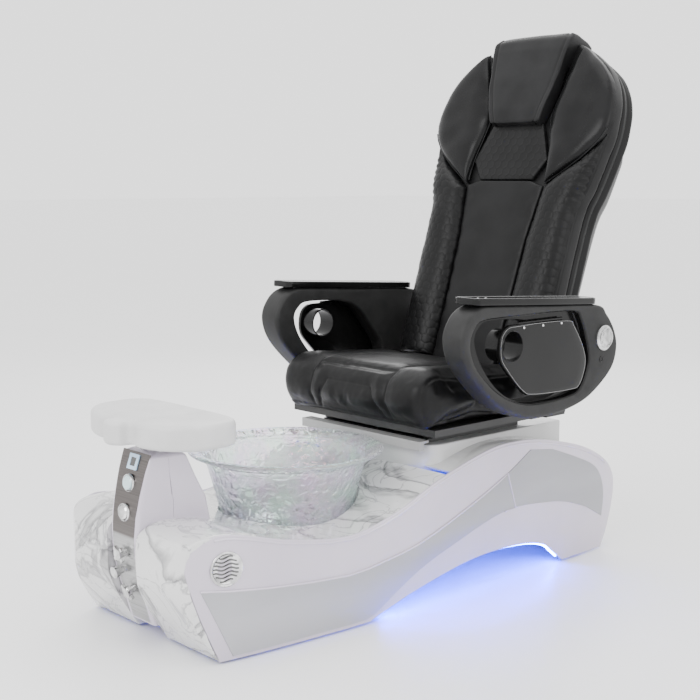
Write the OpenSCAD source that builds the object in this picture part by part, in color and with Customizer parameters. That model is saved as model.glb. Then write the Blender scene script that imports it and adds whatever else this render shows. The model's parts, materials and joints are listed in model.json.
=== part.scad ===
// Pedicure spa chair: a foot-spa base with a removable glass bowl, and a massage chair that slides on it.
// The sitter faces -Y, the sitter's left is +X, and the floor is z = 0. Millimetres.
// Places along the length are given from the hump station and shifted once, at the end, so that the
// origin lies under the middle of the chair.

/* [Base] */
// Front of the base at its nose
nose_y = -745; // [-790:1:-720]
// Back of the base at its tail
tail_y = 733; // [700:1:780]
// Half width of the base at its widest
base_half_w = 306; // [280:1:368]
// Height of the nose
nose_z = 289; // [270:1:310]
// Height of the deck's lowest place, where the bowl stands
valley_z = 229; // [210:1:245]
// Height of the hump under the seat
hump_z = 371; // [350:1:380]
// Wall of the moulded shells
shell_t = 7; // [4:0.5:10]
// Clear gap between neighbouring mouldings
seam = 1; // [0.5:0.1:3]
// Height of the arch over the floor
arch_z = 90; // [60:1:100]

/* [Bowl] */
// Centre of the bowl along the length
bowl_y = -246; // [-255:1:-235]
// Outer radius of the rolled rim
rim_r = 246; // [225:1:252]
// Outer radius of the wall where it meets the rim's flare
wall_r = 204; // [190:1:210]
// Outer radius of the floor
floor_r = 160; // [150:1:172]
// Height of the rim's top
rim_z = 389; // [370:1:396]
// Height of the bowl's underside
bowl_z = 190; // [180:1:200]
// Wall of the glass
glass_t = 7; // [5:0.5:10]
// Diameter of the drain's throat
drain_d = 44; // [36:0.1:53]
// Diameter of the water jet's cover
jet_d = 84; // [70:1:90]

/* [Pillar and footrest] */
// Half width of the control strip at its top
strip_w = 54; // [45:1:58]
// Top of the pillar
pillar_z = 444; // [430:1:450]
// Width of the footrest pad
foot_w = 414; // [360:1:440]
// Thickness of the footrest pad
foot_t = 58; // [45:1:70]
// Underside of the footrest pad
foot_z = 466; // [460:1:480]
// Travel of the footrest on its posts
foot_lift = 50; // [30:1:60]

/* [Seat] */
// Width of the seat cushion
seat_w = 558; // [500:1:670]
// Height of the seat pan's underside
pan_z = 413; // [408:1:425]
// Height of the seat cushion at its front
seat_z = 572; // [550:1:590]
// Drop of the seat cushion's top from front to back
seat_drop = 26; // [10:1:40]

/* [Back] */
// Lean of the back from upright
back_tilt = 19; // [15:1:24]
// Width of the back between the armrests
back_w = 526; // [480:1:540]
// Width across the shoulders
shoulder_w = 626; // [580:1:640]
// Length of the back above the seat
back_len = 938; // [900:1:960]
// Thickness of the back cushion
cushion_t = 62; // [50:1:70]

/* [Armrests] */
// Gap between the seat cushion's side and an armrest
arm_gap = 33; // [28:1:60]
// Width of an armrest
arm_w = 74; // [64:1:84]
// Radius of the cup sleeve's bore
cup_r = 38; // [34:0.1:46]
// Thickness of the armrest's top tray
tray_t = 17; // [14:1:22]

/* [Hidden] */
$fn = 48;
run_gap = 0.05;   // radial clearance of a running fit
clear = 0.4;      // clearance between pieces that slide or sit in one another
foot_front = nose_y - 22;   // foremost point of the footrest

// ---------- shared curves ----------
// A smooth open curve through points, n steps between two neighbours.
function cr(a, b, c, d, t) = 0.5 * ((2 * b) + (c - a) * t + (2 * a - 5 * b + 4 * c - d) * t * t
    + (3 * b - a - 3 * c + d) * t * t * t);
function curve(p, n) = concat([for (i = [0 : len(p) - 2]) for (k = [0 : n - 1])
    cr(p[max(i - 1, 0)], p[i], p[i + 1], p[min(i + 2, len(p) - 1)], k / n)], [p[len(p) - 1]]);
// A smooth closed curve through points.
function ring(p, n) = let (m = len(p)) [for (i = [0 : m - 1]) for (k = [0 : n - 1])
    cr(p[(i + m - 1) % m], p[i], p[(i + 1) % m], p[(i + 2) % m], k / n)];
function unit(v) = v / max(norm(v), 0.001);
// Points moved sideways by d, to the left of the way they run.
function shifted(p, d) = [for (i = [0 : len(p) - 1])
    let (t = unit(p[min(i + 1, len(p) - 1)] - p[max(i - 1, 0)])) p[i] + d * [-t[1], t[0]]];
function shifted_ring(p, d) = let (m = len(p)) [for (i = [0 : m - 1])
    let (t = unit(p[(i + 1) % m] - p[(i + m - 1) % m])) p[i] + d * [-t[1], t[0]]];
function reverse(p) = [for (i = [len(p) - 1 : -1 : 0]) p[i]];

// A profile drawn as [y, z], swept across the chair from x0 to x1.
module across(x0, x1, pts) translate([x0, 0, 0]) rotate([90, 0, 90]) linear_extrude(x1 - x0) polygon(pts);
// A plan drawn as [x, y], raised from z0 to z1.
module raised(z0, z1, pts) translate([0, 0, z0]) linear_extrude(z1 - z0) polygon(pts);
// A front view drawn as [x, z], swept from y0 to y1.
module along(y0, y1, pts) translate([0, y1, 0]) rotate([90, 0, 0]) linear_extrude(y1 - y0) polygon(pts);
module block(lo, hi) translate(lo) cube(hi - lo);
module both() { children(); mirror([1, 0, 0]) children(); }
module rod_x(x0, x1, y, z, r) translate([x0, y, z]) rotate([0, 90, 0]) cylinder(h = x1 - x0, r = r);
module rod_y(y0, y1, x, z, r) translate([x, y0, z]) rotate([-90, 0, 0]) cylinder(h = y1 - y0, r = r);
module rod_z(z0, z1, x, y, r) translate([x, y, z0]) cylinder(h = z1 - z0, r = r);

// ---------- the base's outline ----------
side_nose_y = nose_y + 24;
valley_y = -297;
hump_y = 270;
// Top edge of the side shells, from the toe over the nose, valley and hump to the heel.
top_edge = curve([[nose_y + 95, 5], [nose_y + 52, nose_z - 179], [side_nose_y, nose_z - 74],
    [side_nose_y + 13, nose_z - 26], [side_nose_y + 61, nose_z], [side_nose_y + 130, nose_z - 6],
    [valley_y - 166, valley_z + 21], [valley_y, valley_z], [valley_y + 139, valley_z + 27],
    [hump_y - 272, hump_z - 55], [hump_y - 106, hump_z - 10], [hump_y, hump_z],
    [hump_y + 121, hump_z - 10], [hump_y + 290, hump_z - 50], [tail_y - 56, hump_z - 103],
    [tail_y - 5, hump_z - 157], [tail_y, 150], [tail_y - 25, 65], [tail_y - 57, 5]], 4);
// Arch over the floor between the front and the back foot, from back to front.
arch_front = -235;
arch_back = 495;
arch_edge = curve([[arch_back, 5], [arch_back - 42, arch_z - 53], [arch_back - 82, arch_z - 25],
    [arch_back - 160, arch_z - 7], [arch_back - 280, arch_z], [arch_back - 410, arch_z - 9],
    [arch_front + 155, arch_z - 40], [arch_front + 78, arch_z - 61], [arch_front, 5]], 4);
side_outline = concat(top_edge, arch_edge);
// Half width of the base along its length, and the plan's rounded front.
plan_right = curve([[0, nose_y], [110, nose_y + 4], [205, nose_y + 13], [base_half_w - 69, nose_y + 33],
    [base_half_w - 56, nose_y + 68], [base_half_w - 46, nose_y + 112], [base_half_w - 35, nose_y + 185],
    [base_half_w - 26, nose_y + 265], [base_half_w - 11, valley_y], [base_half_w - 3, -100],
    [base_half_w, 300], [base_half_w, 600], [base_half_w - 6, tail_y + 20]], 2);
function mirrored(p) = [for (q = p) [-q[0], q[1]]];
function plan(d) = let (p = shifted(plan_right, d)) concat(p, reverse(mirrored(p)));
side_start = 8;    // index of the plan point where the side shell begins
function plan_band(a, b) = let (p = [for (i = [side_start : len(plan_right) - 1]) plan_right[i]])
    concat(shifted(p, a), reverse(shifted(p, b)));
top_in = shell_t + seam;   // skins between the side shells lie this far in

// Front skin: it bulges ahead of the side shells' edge.
fascia_edge = curve([[nose_y + 88, 8], [nose_y + 40, 88], [nose_y + 11, nose_z - 124],
    [nose_y + 2, nose_z - 76],
    [nose_y + 10, nose_z - 38], [nose_y + 34, nose_z - 13], [nose_y + 76, nose_z], [nose_y + 150, nose_z - 4],
    [nose_y + 190, nose_z - 15]], 3);

// ---------- base structure ----------
rail_x = 180;
rail_lo = 96;
rail_hi = 126;
brace_x = base_half_w - 54;
foot_x = rail_x;
front_foot_y = -590;
back_foot_y = 590;
foot_h = 12;
post_places = [100, 480];   // uprights that carry the seat's slide, along the length

module base_frame() color("dimgray") {
    both() block([rail_x - 15, front_foot_y - 20, rail_lo], [rail_x + 15, panel_y, rail_hi]);
    for (y = [front_foot_y, -40, 150, back_foot_y])
        block([-brace_x, y - 15, rail_lo], [brace_x, y + 15, rail_hi]);
    both() for (y = [front_foot_y, back_foot_y]) difference() {
        block([foot_x - 15, y - 15, 40], [foot_x + 15, y + 15, rail_lo]);
        rod_z(39, rail_lo - 10, foot_x, y, 6 + run_gap);
    }
    both() for (y = post_places) block([rail_x - 15, y - 15, rail_hi], [rail_x + 15, y + 15, frame_top]);
    both() block([rail_x - 15, post_places[0] - 15, frame_top - 20],
        [rail_x + 15, post_places[1] + 15, frame_top]);
}

module levelling_feet() color("black") both() for (y = [front_foot_y, back_foot_y]) {
    rod_z(0, foot_h, foot_x, y, 25);
    rod_z(foot_h, 70, foot_x, y, 6);
}

// ---------- side shells ----------
grille_y = nose_y + 112;
grille_z = 214;
grille_r = 39;
grille_turn = 17;
module grille_place() translate([base_half_w - 47, grille_y, grille_z]) rotate([0, 0, -grille_turn])
    rotate([0, 90, 0]) children();

module side_shell() difference() {
    intersection() {
        across(0, base_half_w + 20, side_outline);
        raised(0, hump_z + 20, plan_band(0, shell_t));
    }
    grille_place() translate([0, 0, -30]) cylinder(h = 60, r = grille_r - 4);
}
module side_shell_left() color("lavenderblush") side_shell();
module side_shell_right() color("lavenderblush") mirror([1, 0, 0]) side_shell();

// Silver inlay: a broad panel low on the nose that sweeps up over the hump as a band.
inlay_edge = concat(
    curve([[side_nose_y + 28, 172], [-520, 150], [-304, 135], [-196, 146], [-80, 166], [39, 204], [167, 252],
        [253, 290], [346, 340]], 3),
    curve([[346, 340], [441, 327], [540, 292], [624, 256], [664, 217], [681, 162], [674, 98]], 3),
    curve([[674, 98], [597, 139], [495, 172], [398, 186], [301, 193], [212, 185], [84, 151], [-79, 98],
        [-220, 22]], 3),
    [[-250, 14], [nose_y + 125, 14]]);
inlay_t = 2;
module side_inlay() intersection() {
    across(0, base_half_w + 20, inlay_edge);
    raised(0, hump_z + 20, plan_band(-inlay_t - 0.3, -0.3));
}
module side_inlay_left() color("silver") side_inlay();
module side_inlay_right() color("silver") mirror([1, 0, 0]) side_inlay();

module side_grilles() color("gainsboro") both() grille_place() difference() {
    union() {
        translate([0, 0, 4.5]) cylinder(h = 3, r = grille_r);
        translate([0, 0, -12]) cylinder(h = 17, r = grille_r - 5);
    }
    for (i = [-3 : 3]) translate([i * 8, 0, 3]) cube([3, 34 - abs(i) * 3, 24], center = true);
}

// ---------- skins between the side shells ----------
lobe_in = 66;   // inner edge of a front lobe, beside the pillar
front_end = -560;
module skin(y0, y1) intersection() {
    difference() {
        across(-400, 400, concat(top_edge, [[400, 5]]));
        across(-401, 401, concat(shifted(top_edge, -shell_t), [[400, -20]]));
    }
    raised(1, hump_z + 20, plan(top_in));
    block([-400, y0, 8], [400, y1, 500]);
}
module front_fascia() color("whitesmoke") difference() {
    intersection() {
        across(-400, 400, concat(fascia_edge, [[front_end + 5, 0]]));
        raised(8, hump_z + 20, plan(seam));
        block([-400, nose_y - 10, 8], [400, front_end, 500]);
    }
    intersection() {
        across(-401, 401, concat(shifted(fascia_edge, -shell_t), [[front_end + 6, -20]]));
        raised(0, hump_z + 20, plan(seam + shell_t));
    }
    both() intersection() {
        across(0, base_half_w + 20, shifted(top_edge, seam));
        raised(0, hump_z + 20, plan_band(-9, top_in));
    }
    block([-lobe_in - seam, nose_y - 40, 0], [lobe_in + seam, front_end - 80, 500]);
    pillar_body(seam);
}

seat_hole_r = bowl_at(valley_z - 20) + 4;
// Outer radius of the bowl's wall at a height
function bowl_at(z) = floor_r + (wall_r - floor_r) * (z - bowl_z) / (rim_z - 29 - bowl_z);
ped_y = 26;
ped_x = 236;
ped_top = 383;
ped_end = 560;
// Room for the bowl: the same taper as its wall, so that it lifts straight out.
module bowl_room() translate([0, bowl_y, bowl_z - 10])
    cylinder(h = flare_z - bowl_z + 10, r1 = bowl_at(bowl_z - 10) + 3, r2 = bowl_at(flare_z) + 3);
module deck() color("whitesmoke") difference() {
    skin(front_end + seam, ped_y - seam);
    bowl_room();
    pillar_body(seam);
}
module tail_cover() color("lavenderblush") difference() {
    skin(ped_y, tail_y + 10);
    block([-ped_x - seam, ped_y - 10, 200], [ped_x + seam, ped_end + seam, 500]);
    block([-400, 500, 0], [400, tail_y + 20, 112]);
}
panel_y = 640;
module service_panel() color("gray") difference() {
    block([-250, panel_y, 12], [250, panel_y + 4, 106]);
    for (x = inlet_x) rod_y(panel_y - 5, panel_y + 9, x, inlet_z, inlet_r - 1);
    rod_y(panel_y - 5, panel_y + 9, drain_x, inlet_z, outlet_r - 5);
}

module led_strips() color("dodgerblue") both()
    block([brace_x - 14, arch_front + 180, rail_lo - 8.3], [brace_x - 2, arch_back - 60, rail_lo - 0.3]);

// ---------- pillar and controls ----------
// Front face of the pillar, from its foot to its top.
pillar_face = curve([[nose_y + 64, 40], [nose_y + 42, 113], [nose_y + 28, 160], [nose_y + 20, 206],
    [nose_y + 18, 253], [nose_y + 22, 300], [nose_y + 32, 350], [nose_y + 45, 400],
    [nose_y + 61, pillar_z]], 2);
pillar_rear = [[-600, pillar_z], [-574, 380], [-552, 330], [-540, 268], [-540, 130]];
strip_t = 2.5;
module pillar_body(grow) intersection() {
    across(-200, 200, concat(shifted(pillar_face, grow - strip_t), [[-600 + grow, pillar_z + grow]],
        [for (p = pillar_rear) [p[0] + grow, p[1]]], [[-540 + grow, 40]]));
    raised(0, 600, [[-strip_w - 4 - grow, nose_y - 40], [strip_w + 4 + grow, nose_y - 40],
        [strip_w + 6 + grow, -700], [96 + grow, -560], [96 + grow, -500], [-96 - grow, -500],
        [-96 - grow, -560], [-strip_w - 6 - grow, -700]]);
}
// Things on the pillar's face sit square to it: height along the face, and how far out from it.
function face_index(z) = min([for (i = [0 : len(pillar_face) - 1]) if (pillar_face[i][1] >= z) i]);
function face_y(z) = let (i = face_index(z), a = pillar_face[i - 1], b = pillar_face[i])
    a[0] + (b[0] - a[0]) * (z - a[1]) / (b[1] - a[1]);
function face_lean(z) = let (i = face_index(z), a = pillar_face[i - 1], b = pillar_face[i])
    atan2(b[0] - a[0], b[1] - a[1]);
// Local frame on the face: +Z points out of it, towards the front.
module on_face(x, z) translate([x, face_y(z), z]) rotate([90 - face_lean(z), 0, 0]) children();

display_z = 418;
jet_z = 372;
light_z = 306;
hot_z = 212;
cold_z = 122;
spray_z = 168;
spray_x = -20;
button_r = 17;
cavity_x = 48;   // half width of the hollow behind the controls
knob_r = 9;
module pillar() color("lavenderblush") difference() {
    pillar_body(0);
    for (z = [jet_z, light_z]) on_face(0, z) translate([0, 0, -35]) cylinder(h = 50, r = button_r + 1);
    for (z = [hot_z, cold_z]) on_face(0, z) translate([0, 0, -42]) cylinder(h = 60, r = knob_r + 1);
    on_face(spray_x, spray_z) translate([0, 0, -spray_pull - 10])
        cylinder(h = spray_pull + 30, r = spray_r + 1.5);
    on_face(0, display_z) translate([0, 0, -11]) cube([30, 28, 30], center = true);
    for (x = post_x) rod_z(pillar_z - foot_lift - 40, pillar_z + 10, x, post_y, post_r + clear);
    block([-cavity_x, -640, 30], [cavity_x, -530, 330]);
    block([-120, front_foot_y - 16, rail_lo - 1], [120, front_foot_y + 16, rail_hi + 1]);
    block([-130, -585, main_z - 32], [-cavity_x + 5, -500, main_z + 14]);
}
module control_strip() color("silver") difference() {
    intersection() {
        across(-200, 200, concat(pillar_face, reverse(shifted(pillar_face, -strip_t + 0.2))));
        along(nose_y - 50, -600, [[-36, 44], [36, 44], [40, 160], [strip_w - 9, 290],
            [strip_w, pillar_z - 4], [-strip_w, pillar_z - 4], [-strip_w + 9, 290], [-40, 160]]);
    }
    for (z = [jet_z, light_z]) on_face(0, z) translate([0, 0, -10]) cylinder(h = 20, r = button_r + clear);
    for (z = [hot_z, cold_z]) on_face(0, z) translate([0, 0, -10]) cylinder(h = 20, r = knob_r + clear);
    on_face(spray_x, spray_z) translate([0, 0, -10]) cylinder(h = 20, r = spray_r + 0.5);
    on_face(0, display_z) cube([30, 28, 30], center = true);
}
module display_bezel() color("lightsteelblue") on_face(0, display_z) difference() {
    translate([-19, -18, 0.5]) cube([38, 36, 2.5]);
    translate([-10, -10, -1]) cube([20, 20, 5]);
}
module display_screen() color("black") on_face(0, display_z) union() {
    translate([-9.5, -9.5, -8]) cube([19, 19, 10]);
    translate([-14, -13, -8]) cube([28, 26, 6]);
}
module push_button() {
    translate([0, 0, -12]) cylinder(h = 18, r = button_r);
    translate([0, 0, 6]) cylinder(h = 2.5, r1 = button_r, r2 = button_r - 3);
    translate([0, 0, -12.1]) cylinder(h = 0.2, r = button_r);
}
module jet_button() color("lightcyan") on_face(0, jet_z) push_button();
module light_button() color("silver") on_face(0, light_z) push_button();
module tap_knob() {
    translate([0, 0, -30]) cylinder(h = 38, r = knob_r);
    translate([0, 0, 8]) cylinder(h = 12, r = 13);
    for (a = [45, 135]) rotate([0, 0, a]) translate([-21, -4.5, 10]) cube([42, 9, 8]);
}
module hot_knob() color("silver") on_face(0, hot_z) tap_knob();
module cold_knob() color("silver") on_face(0, cold_z) tap_knob();
spray_pull = 80;   // how far the hand shower comes out
spray_r = 10.5;
module sprayer() color("silver") on_face(spray_x, spray_z) {
    translate([0, 0, -spray_pull - 4]) cylinder(h = spray_pull + 12, r = spray_r - clear);
    translate([0, 0, 8]) cylinder(h = 8, r1 = 10, r2 = 14);
    translate([0, 0, 16]) cylinder(h = 8, r = 14);
}

// ---------- footrest ----------
post_x = [-38, 38];
post_y = -648;
post_r = 8;
module footrest_posts() color("silver") {
    for (x = post_x) rod_z(pillar_z - foot_lift - 30, foot_z - 6, x, post_y, post_r);
    block([-70, post_y - 25, foot_z - 6], [70, post_y + 60, foot_z - 0.3]);
}
foot_half = foot_w / 2;
// Plan of the pad: a centre ridge in front, one lobe for each foot, and a straight back.
foot_plan = ring([[0, foot_front], [28, foot_front + 14], [40, foot_front + 40],
    [90, foot_front + 34], [foot_half - 50, foot_front + 58], [foot_half - 8, foot_front + 104],
    [foot_half, foot_front + 160], [foot_half - 12, foot_front + 214], [foot_half - 70, foot_front + 238],
    [0, foot_front + 242], [-foot_half + 70, foot_front + 238], [-foot_half + 12, foot_front + 214],
    [-foot_half, foot_front + 160], [-foot_half + 8, foot_front + 104], [-foot_half + 50, foot_front + 58],
    [-90, foot_front + 34], [-40, foot_front + 40], [-28, foot_front + 14]], 3);
module footrest_pad() color("white") {
    raised(foot_z, foot_z + 8, shifted_ring(foot_plan, 7));
    raised(foot_z + 8, foot_z + foot_t - 10, foot_plan);
    raised(foot_z + foot_t - 10, foot_z + foot_t, shifted_ring(foot_plan, 9));
}

// ---------- bowl ----------
bowl_in_z = bowl_z + glass_t;
flare_z = rim_z - 29;
module bowl() color([0.9, 0.93, 0.96, 0.5]) translate([0, bowl_y, 0]) difference() {
    rotate_extrude($fn = 96) polygon([[0, bowl_z], [floor_r - 12, bowl_z], [floor_r, bowl_z + 10],
        [wall_r, flare_z], [rim_r - 12, rim_z - 12], [rim_r - 2, rim_z - 10], [rim_r, rim_z - 5],
        [rim_r - 3, rim_z], [rim_r - 14, rim_z - 1], [wall_r - glass_t + 3, flare_z + 4],
        [floor_r - glass_t, bowl_z + 18], [floor_r - 22, bowl_in_z], [0, bowl_in_z]]);
    rod_z(bowl_z - 5, bowl_z + 20, 0, drain_dy, drain_d / 2 + clear);
    rod_z(bowl_z - 5, bowl_z + 20, 0, jet_dy, jet_shaft_r + 14);
}
drain_dy = 82;
jet_dy = -62;
jet_shaft_r = 6;
seal_z = valley_z - shell_t - 10.5;
module bowl_seal() color("black") translate([0, bowl_y, 0]) difference() {
    rod_z(seal_z, seal_z + 10, 0, 0, seat_hole_r + 5.5);
    rod_z(seal_z - 1, seal_z + 11, 0, 0, bowl_at(seal_z + 10) + 0.5);
}
module drain_body() color("gray") translate([0, bowl_y + drain_dy, 0]) difference() {
    union() {
        rod_z(bowl_in_z + 0.3, bowl_in_z + 3.3, 0, 0, drain_d / 2 + 6);
        rod_z(bowl_z - 55, bowl_in_z + 1, 0, 0, drain_d / 2);
    }
    rod_z(bowl_z - 50, bowl_in_z + 5, 0, 0, drain_d / 2 - 4);
}
module drain_stopper() color("silver") translate([0, bowl_y + drain_dy, 0]) {
    rod_z(bowl_in_z - 2, bowl_in_z + 2.4, 0, 0, drain_d / 2 - 4.5);
    rod_z(bowl_z - 40, bowl_in_z - 1, 0, 0, 4);
}
module jet_cover() color("silver") translate([0, bowl_y + jet_dy, 0]) difference() {
    rod_z(bowl_in_z + 0.3, bowl_in_z + 16, 0, 0, jet_d / 2);
    rod_z(bowl_in_z + 0.2, bowl_in_z + 13, 0, 0, jet_d / 2 - 3);
    for (a = [0 : 45 : 315]) rotate([0, 0, a]) rod_z(bowl_in_z, bowl_in_z + 20, 24, 0, 4);
    for (a = [0 : 60 : 300]) rotate([0, 0, a]) translate([jet_d / 2 - 2, 0, bowl_in_z + 7])
        cube([12, 8, 5], center = true);
}
module jet_impeller() color("white") translate([0, bowl_y + jet_dy, 0]) {
    rod_z(bowl_in_z + 1, bowl_in_z + 10, 0, 0, 9);
    for (a = [0 : 60 : 300]) rotate([0, 0, a]) block([6, -1.5, bowl_in_z + 3], [33, 1.5, bowl_in_z + 9]);
    rod_z(bowl_z - 20, bowl_in_z + 2, 0, 0, jet_shaft_r);
}
module jet_motor() color("dimgray") translate([0, bowl_y + jet_dy, 0]) difference() {
    union() {
        rod_z(rail_hi + 1, bowl_z - 6, 0, 0, 44);
        rod_z(bowl_z - 6, bowl_z - 0.5, 0, 0, 32);
    }
    rod_z(bowl_z - 26, bowl_z, 0, 0, jet_shaft_r + run_gap);
}

// ---------- plumbing ----------
inlet_x = [-120, -60];
inlet_z = 78;
main_z = 152;
inlet_r = 10.5;
outlet_r = 20;
drain_x = 90;
elbow_y = 624;
plumb_end = panel_y + 44;
module mixing_valve() color("goldenrod") {
    block([-44, -612, main_z - 20], [38, -560, main_z + 60]);
    block([-25, -612, rail_hi + 0.5], [25, -575, main_z - 20]);
}
module discharge_pump() color("dimgray") {
    rod_y(200, 290, drain_x, main_z + 18, 42);
    block([drain_x - 35, 210, rail_hi + 0.5], [drain_x + 35, 280, rail_hi + 12]);
}
module water_pipes() color("silver") {
    for (x = inlet_x) {
        rod_y(-570, elbow_y, x, main_z, 8);
        rod_z(inlet_z, main_z, x, elbow_y, inlet_r - 2);
        rod_y(elbow_y, plumb_end, x, inlet_z, inlet_r - 2);
        rod_y(panel_y + 4.5, plumb_end, x, inlet_z, inlet_r);
        rod_x(x, -45, -570, main_z + (x + 60) / 3, 6);
        rod_z(main_z + (x + 60) / 3, main_z, x, -570, 6);
    }
    rod_y(290.3, elbow_y, drain_x, main_z, 14);
    rod_z(inlet_z, main_z, drain_x, elbow_y, outlet_r - 6);
    rod_y(elbow_y, plumb_end, drain_x, inlet_z, outlet_r - 6);
    rod_y(panel_y + 4.5, plumb_end, drain_x, inlet_z, outlet_r);
    rod_y(bowl_y + drain_dy + drain_d / 2 + 0.3, 186, 0, main_z, 12);
    rod_x(-2, drain_x, 186, main_z, 12);
    rod_y(186, 199.7, drain_x, main_z, 12);
}

// ---------- pedestal and slide ----------
frame_top = ped_top - shell_t - 0.3;
plate_top = 396;
rail_top = 410;
slide_x = 190;
slide_run = 80;      // travel of the seat each way
carriage_front = 100;
carriage_back = 330;
rail_front = carriage_front - 30;
rail_back = carriage_back + slide_run;
module pedestal() color("whitesmoke") difference() {
    intersection() {
        across(-ped_x, ped_x, concat([[ped_y, 250]], curve([[ped_y - 4, 270], [ped_y + 2, 330],
            [ped_y + 18, ped_top - 12], [ped_y + 44, ped_top]], 3), [[ped_end - 30, ped_top],
            [ped_end, ped_top - 30], [ped_end, 250]]));
        raised(200, 500, [[-ped_x, ped_end], [-ped_x, ped_y + 40], [-ped_x + 14, ped_y + 8],
            [-ped_x + 46, ped_y - 5], [ped_x - 46, ped_y - 5], [ped_x - 14, ped_y + 8],
            [ped_x, ped_y + 40], [ped_x, ped_end]]);
    }
    block([-ped_x + shell_t, ped_y + 52, 200], [ped_x - shell_t, ped_end - shell_t - 30, ped_top - shell_t]);
}
module shelf_strip() color("gray") {
    block([-ped_x + 10, ped_y - 24, 374], [ped_x - 10, ped_y - 6, 397]);
    block([-ped_x + 10, ped_y - 6, 391], [ped_x - 10, ped_y + 10, 397]);
}
module slide_rails() color("black") {
    block([-200, rail_front - 10, ped_top + 0.3], [200, rail_back + 10, plate_top - 3]);
    both() block([slide_x - 16, rail_front, plate_top - 3], [slide_x + 16, rail_back, plate_top]);
    both() block([slide_x - 6, rail_front, plate_top], [slide_x + 6, rail_back, rail_top - 4]);
    for (y = [rail_front + 2, rail_back - 10]) difference() {
        block([-10, y, plate_top - 3], [10, y + 8, screw_z + 6.5]);
        rod_y(y - 1, y + 9, 0, screw_z, screw_r + run_gap);
    }
}
screw_z = 403;
screw_r = 5;
module slide_screw() color("silver") {
    rod_y(rail_front + 4, rail_back - 4, 0, screw_z, screw_r);
}
module seat_carriage() color("dimgray") difference() {
    union() {
        both() block([slide_x - 14, carriage_front, plate_top + 1],
            [slide_x + 14, carriage_back, pan_z - 0.2]);
        block([-14, 200, plate_top - 1], [14, 240, pan_z - 0.2]);
        for (y = [carriage_front + 10, 205, carriage_back - 40])
            block([-slide_x, y, pan_z - 3], [slide_x, y + 30, pan_z - 0.2]);
    }
    both() block([slide_x - 6.5, carriage_front - 10, plate_top],
        [slide_x + 6.5, carriage_back + 10, rail_top - 3.5]);
    rod_y(190, 250, 0, screw_z, screw_r + run_gap);
}

// ---------- seat ----------
seat_half = seat_w / 2;
pan_end = 530;
hinge_y = 500;
hinge_z = 470;
hinge_r = 10;
cheek_x = seat_half - 11;
module seat_pan() color([0.12, 0.12, 0.12]) {
    block([-seat_half + 8, 12, pan_z], [seat_half - 8, pan_end, pan_z + 18]);
    both() difference() {
        union() {
            across(cheek_x, cheek_x + 10, [[380, pan_z], [500, pan_z], [540, hinge_z], [520, 500], [470, 500],
                [430, pan_z + 18]]);
            block([seat_half - 10, 400, pan_z], [cheek_x + 8, pan_end, pan_z + 18]);
        }
        rod_x(cheek_x - 5, cheek_x + 20, hinge_y, hinge_z, hinge_r + run_gap);
    }
    // brackets that carry the armrests' pivots
    both() difference() {
        across(cheek_x + 10, cheek_x + 22, [[430, pan_z], [510, pan_z], [arm_py + 38, arm_pz - 20],
            [arm_py + 30, arm_pz + 26], [arm_py - 26, arm_pz + 26], [arm_py - 36, arm_pz - 20]]);
        rod_x(cheek_x, cheek_x + 30, arm_py, arm_pz, pivot_r + run_gap);
        rod_x(cheek_x, cheek_x + 30, hinge_y, hinge_z, hinge_r + 6);
    }
}
seat_back_y = 378;
seat_front = curve([[seat_back_y, pan_z + 19], [14, pan_z + 19], [-22, pan_z + 22], [-46, pan_z + 70],
    [-47, seat_z - 60], [-30, seat_z - 14], [14, seat_z], [200, seat_z - seat_drop / 2],
    [seat_back_y - 14, seat_z - seat_drop], [seat_back_y, seat_z - seat_drop - 20]], 3);
module seat_cushion() color([0.16, 0.16, 0.17]) intersection() {
    across(-seat_half, seat_half, seat_front);
    along(-60, seat_back_y + 1, [[-seat_half + 10, pan_z + 19], [seat_half - 10, pan_z + 19],
        [seat_half, pan_z + 50], [seat_half, seat_z - 40], [seat_half - 18, seat_z - 8],
        [seat_half - 60, seat_z + 1], [-seat_half + 60, seat_z + 1], [-seat_half + 18, seat_z - 8],
        [-seat_half, seat_z - 40], [-seat_half, pan_z + 50]]);
}
module recline_motor() color("gray") difference() {
    union() {
        rod_x(198, 232, hinge_y, hinge_z, hinge_r + 11);
        rod_y(384, hinge_y - 20, 215, pan_z + 44, 22);
    }
    rod_x(190, 240, hinge_y, hinge_z, hinge_r + 6 + run_gap);
}

// ---------- back ----------
hub_y = 95;    // the hinge in the back's own frame
hub_z = -62;
// Local frame of the back: z runs up it, -y faces the sitter, origin where it meets the seat.
module on_back() translate([0, hinge_y, hinge_z]) rotate([-back_tilt, 0, 0])
    translate([0, -hub_y, -hub_z]) children();
back_half = back_w / 2;
shoulder = shoulder_w / 2;
back_edge = curve([[back_half - 14, -40], [back_half - 2, 20], [back_half, 200], [back_half + 2, 424],
    [back_half + 22, 507], [shoulder - 10, 600], [shoulder, 672], [shoulder - 8, 762], [shoulder - 44, 838],
    [shoulder - 110, 896], [shoulder - 170, back_len - 8]], 3);
function back_shape(d) = let (p = shifted(back_edge, d)) concat(p, reverse(mirrored(p)));
module back_slab(y0, y1, d, z0, z1) intersection() {
    along(y0, y1, back_shape(d));
    block([-400, y0 - 1, z0], [400, y1 + 1, z1]);
}
inner_x = 142;
module back_cushion() color([0.16, 0.16, 0.17]) on_back() {
    back_slab(0, cushion_t - 8, 0, -39, 936);
    both() intersection() {
        along(-34, 0, [[inner_x, -10], [back_half - 6, -10], [back_half - 4, 424], [back_half + 18, 507],
            [shoulder - 14, 600], [shoulder - 4, 655], [243, 576], [inner_x + 4, 494]]);
        across(0, 400, [[0, -20], [-20, -20], [-34, 60], [-34, 420], [-16, 660], [0, 670]]);
    }
}
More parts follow.
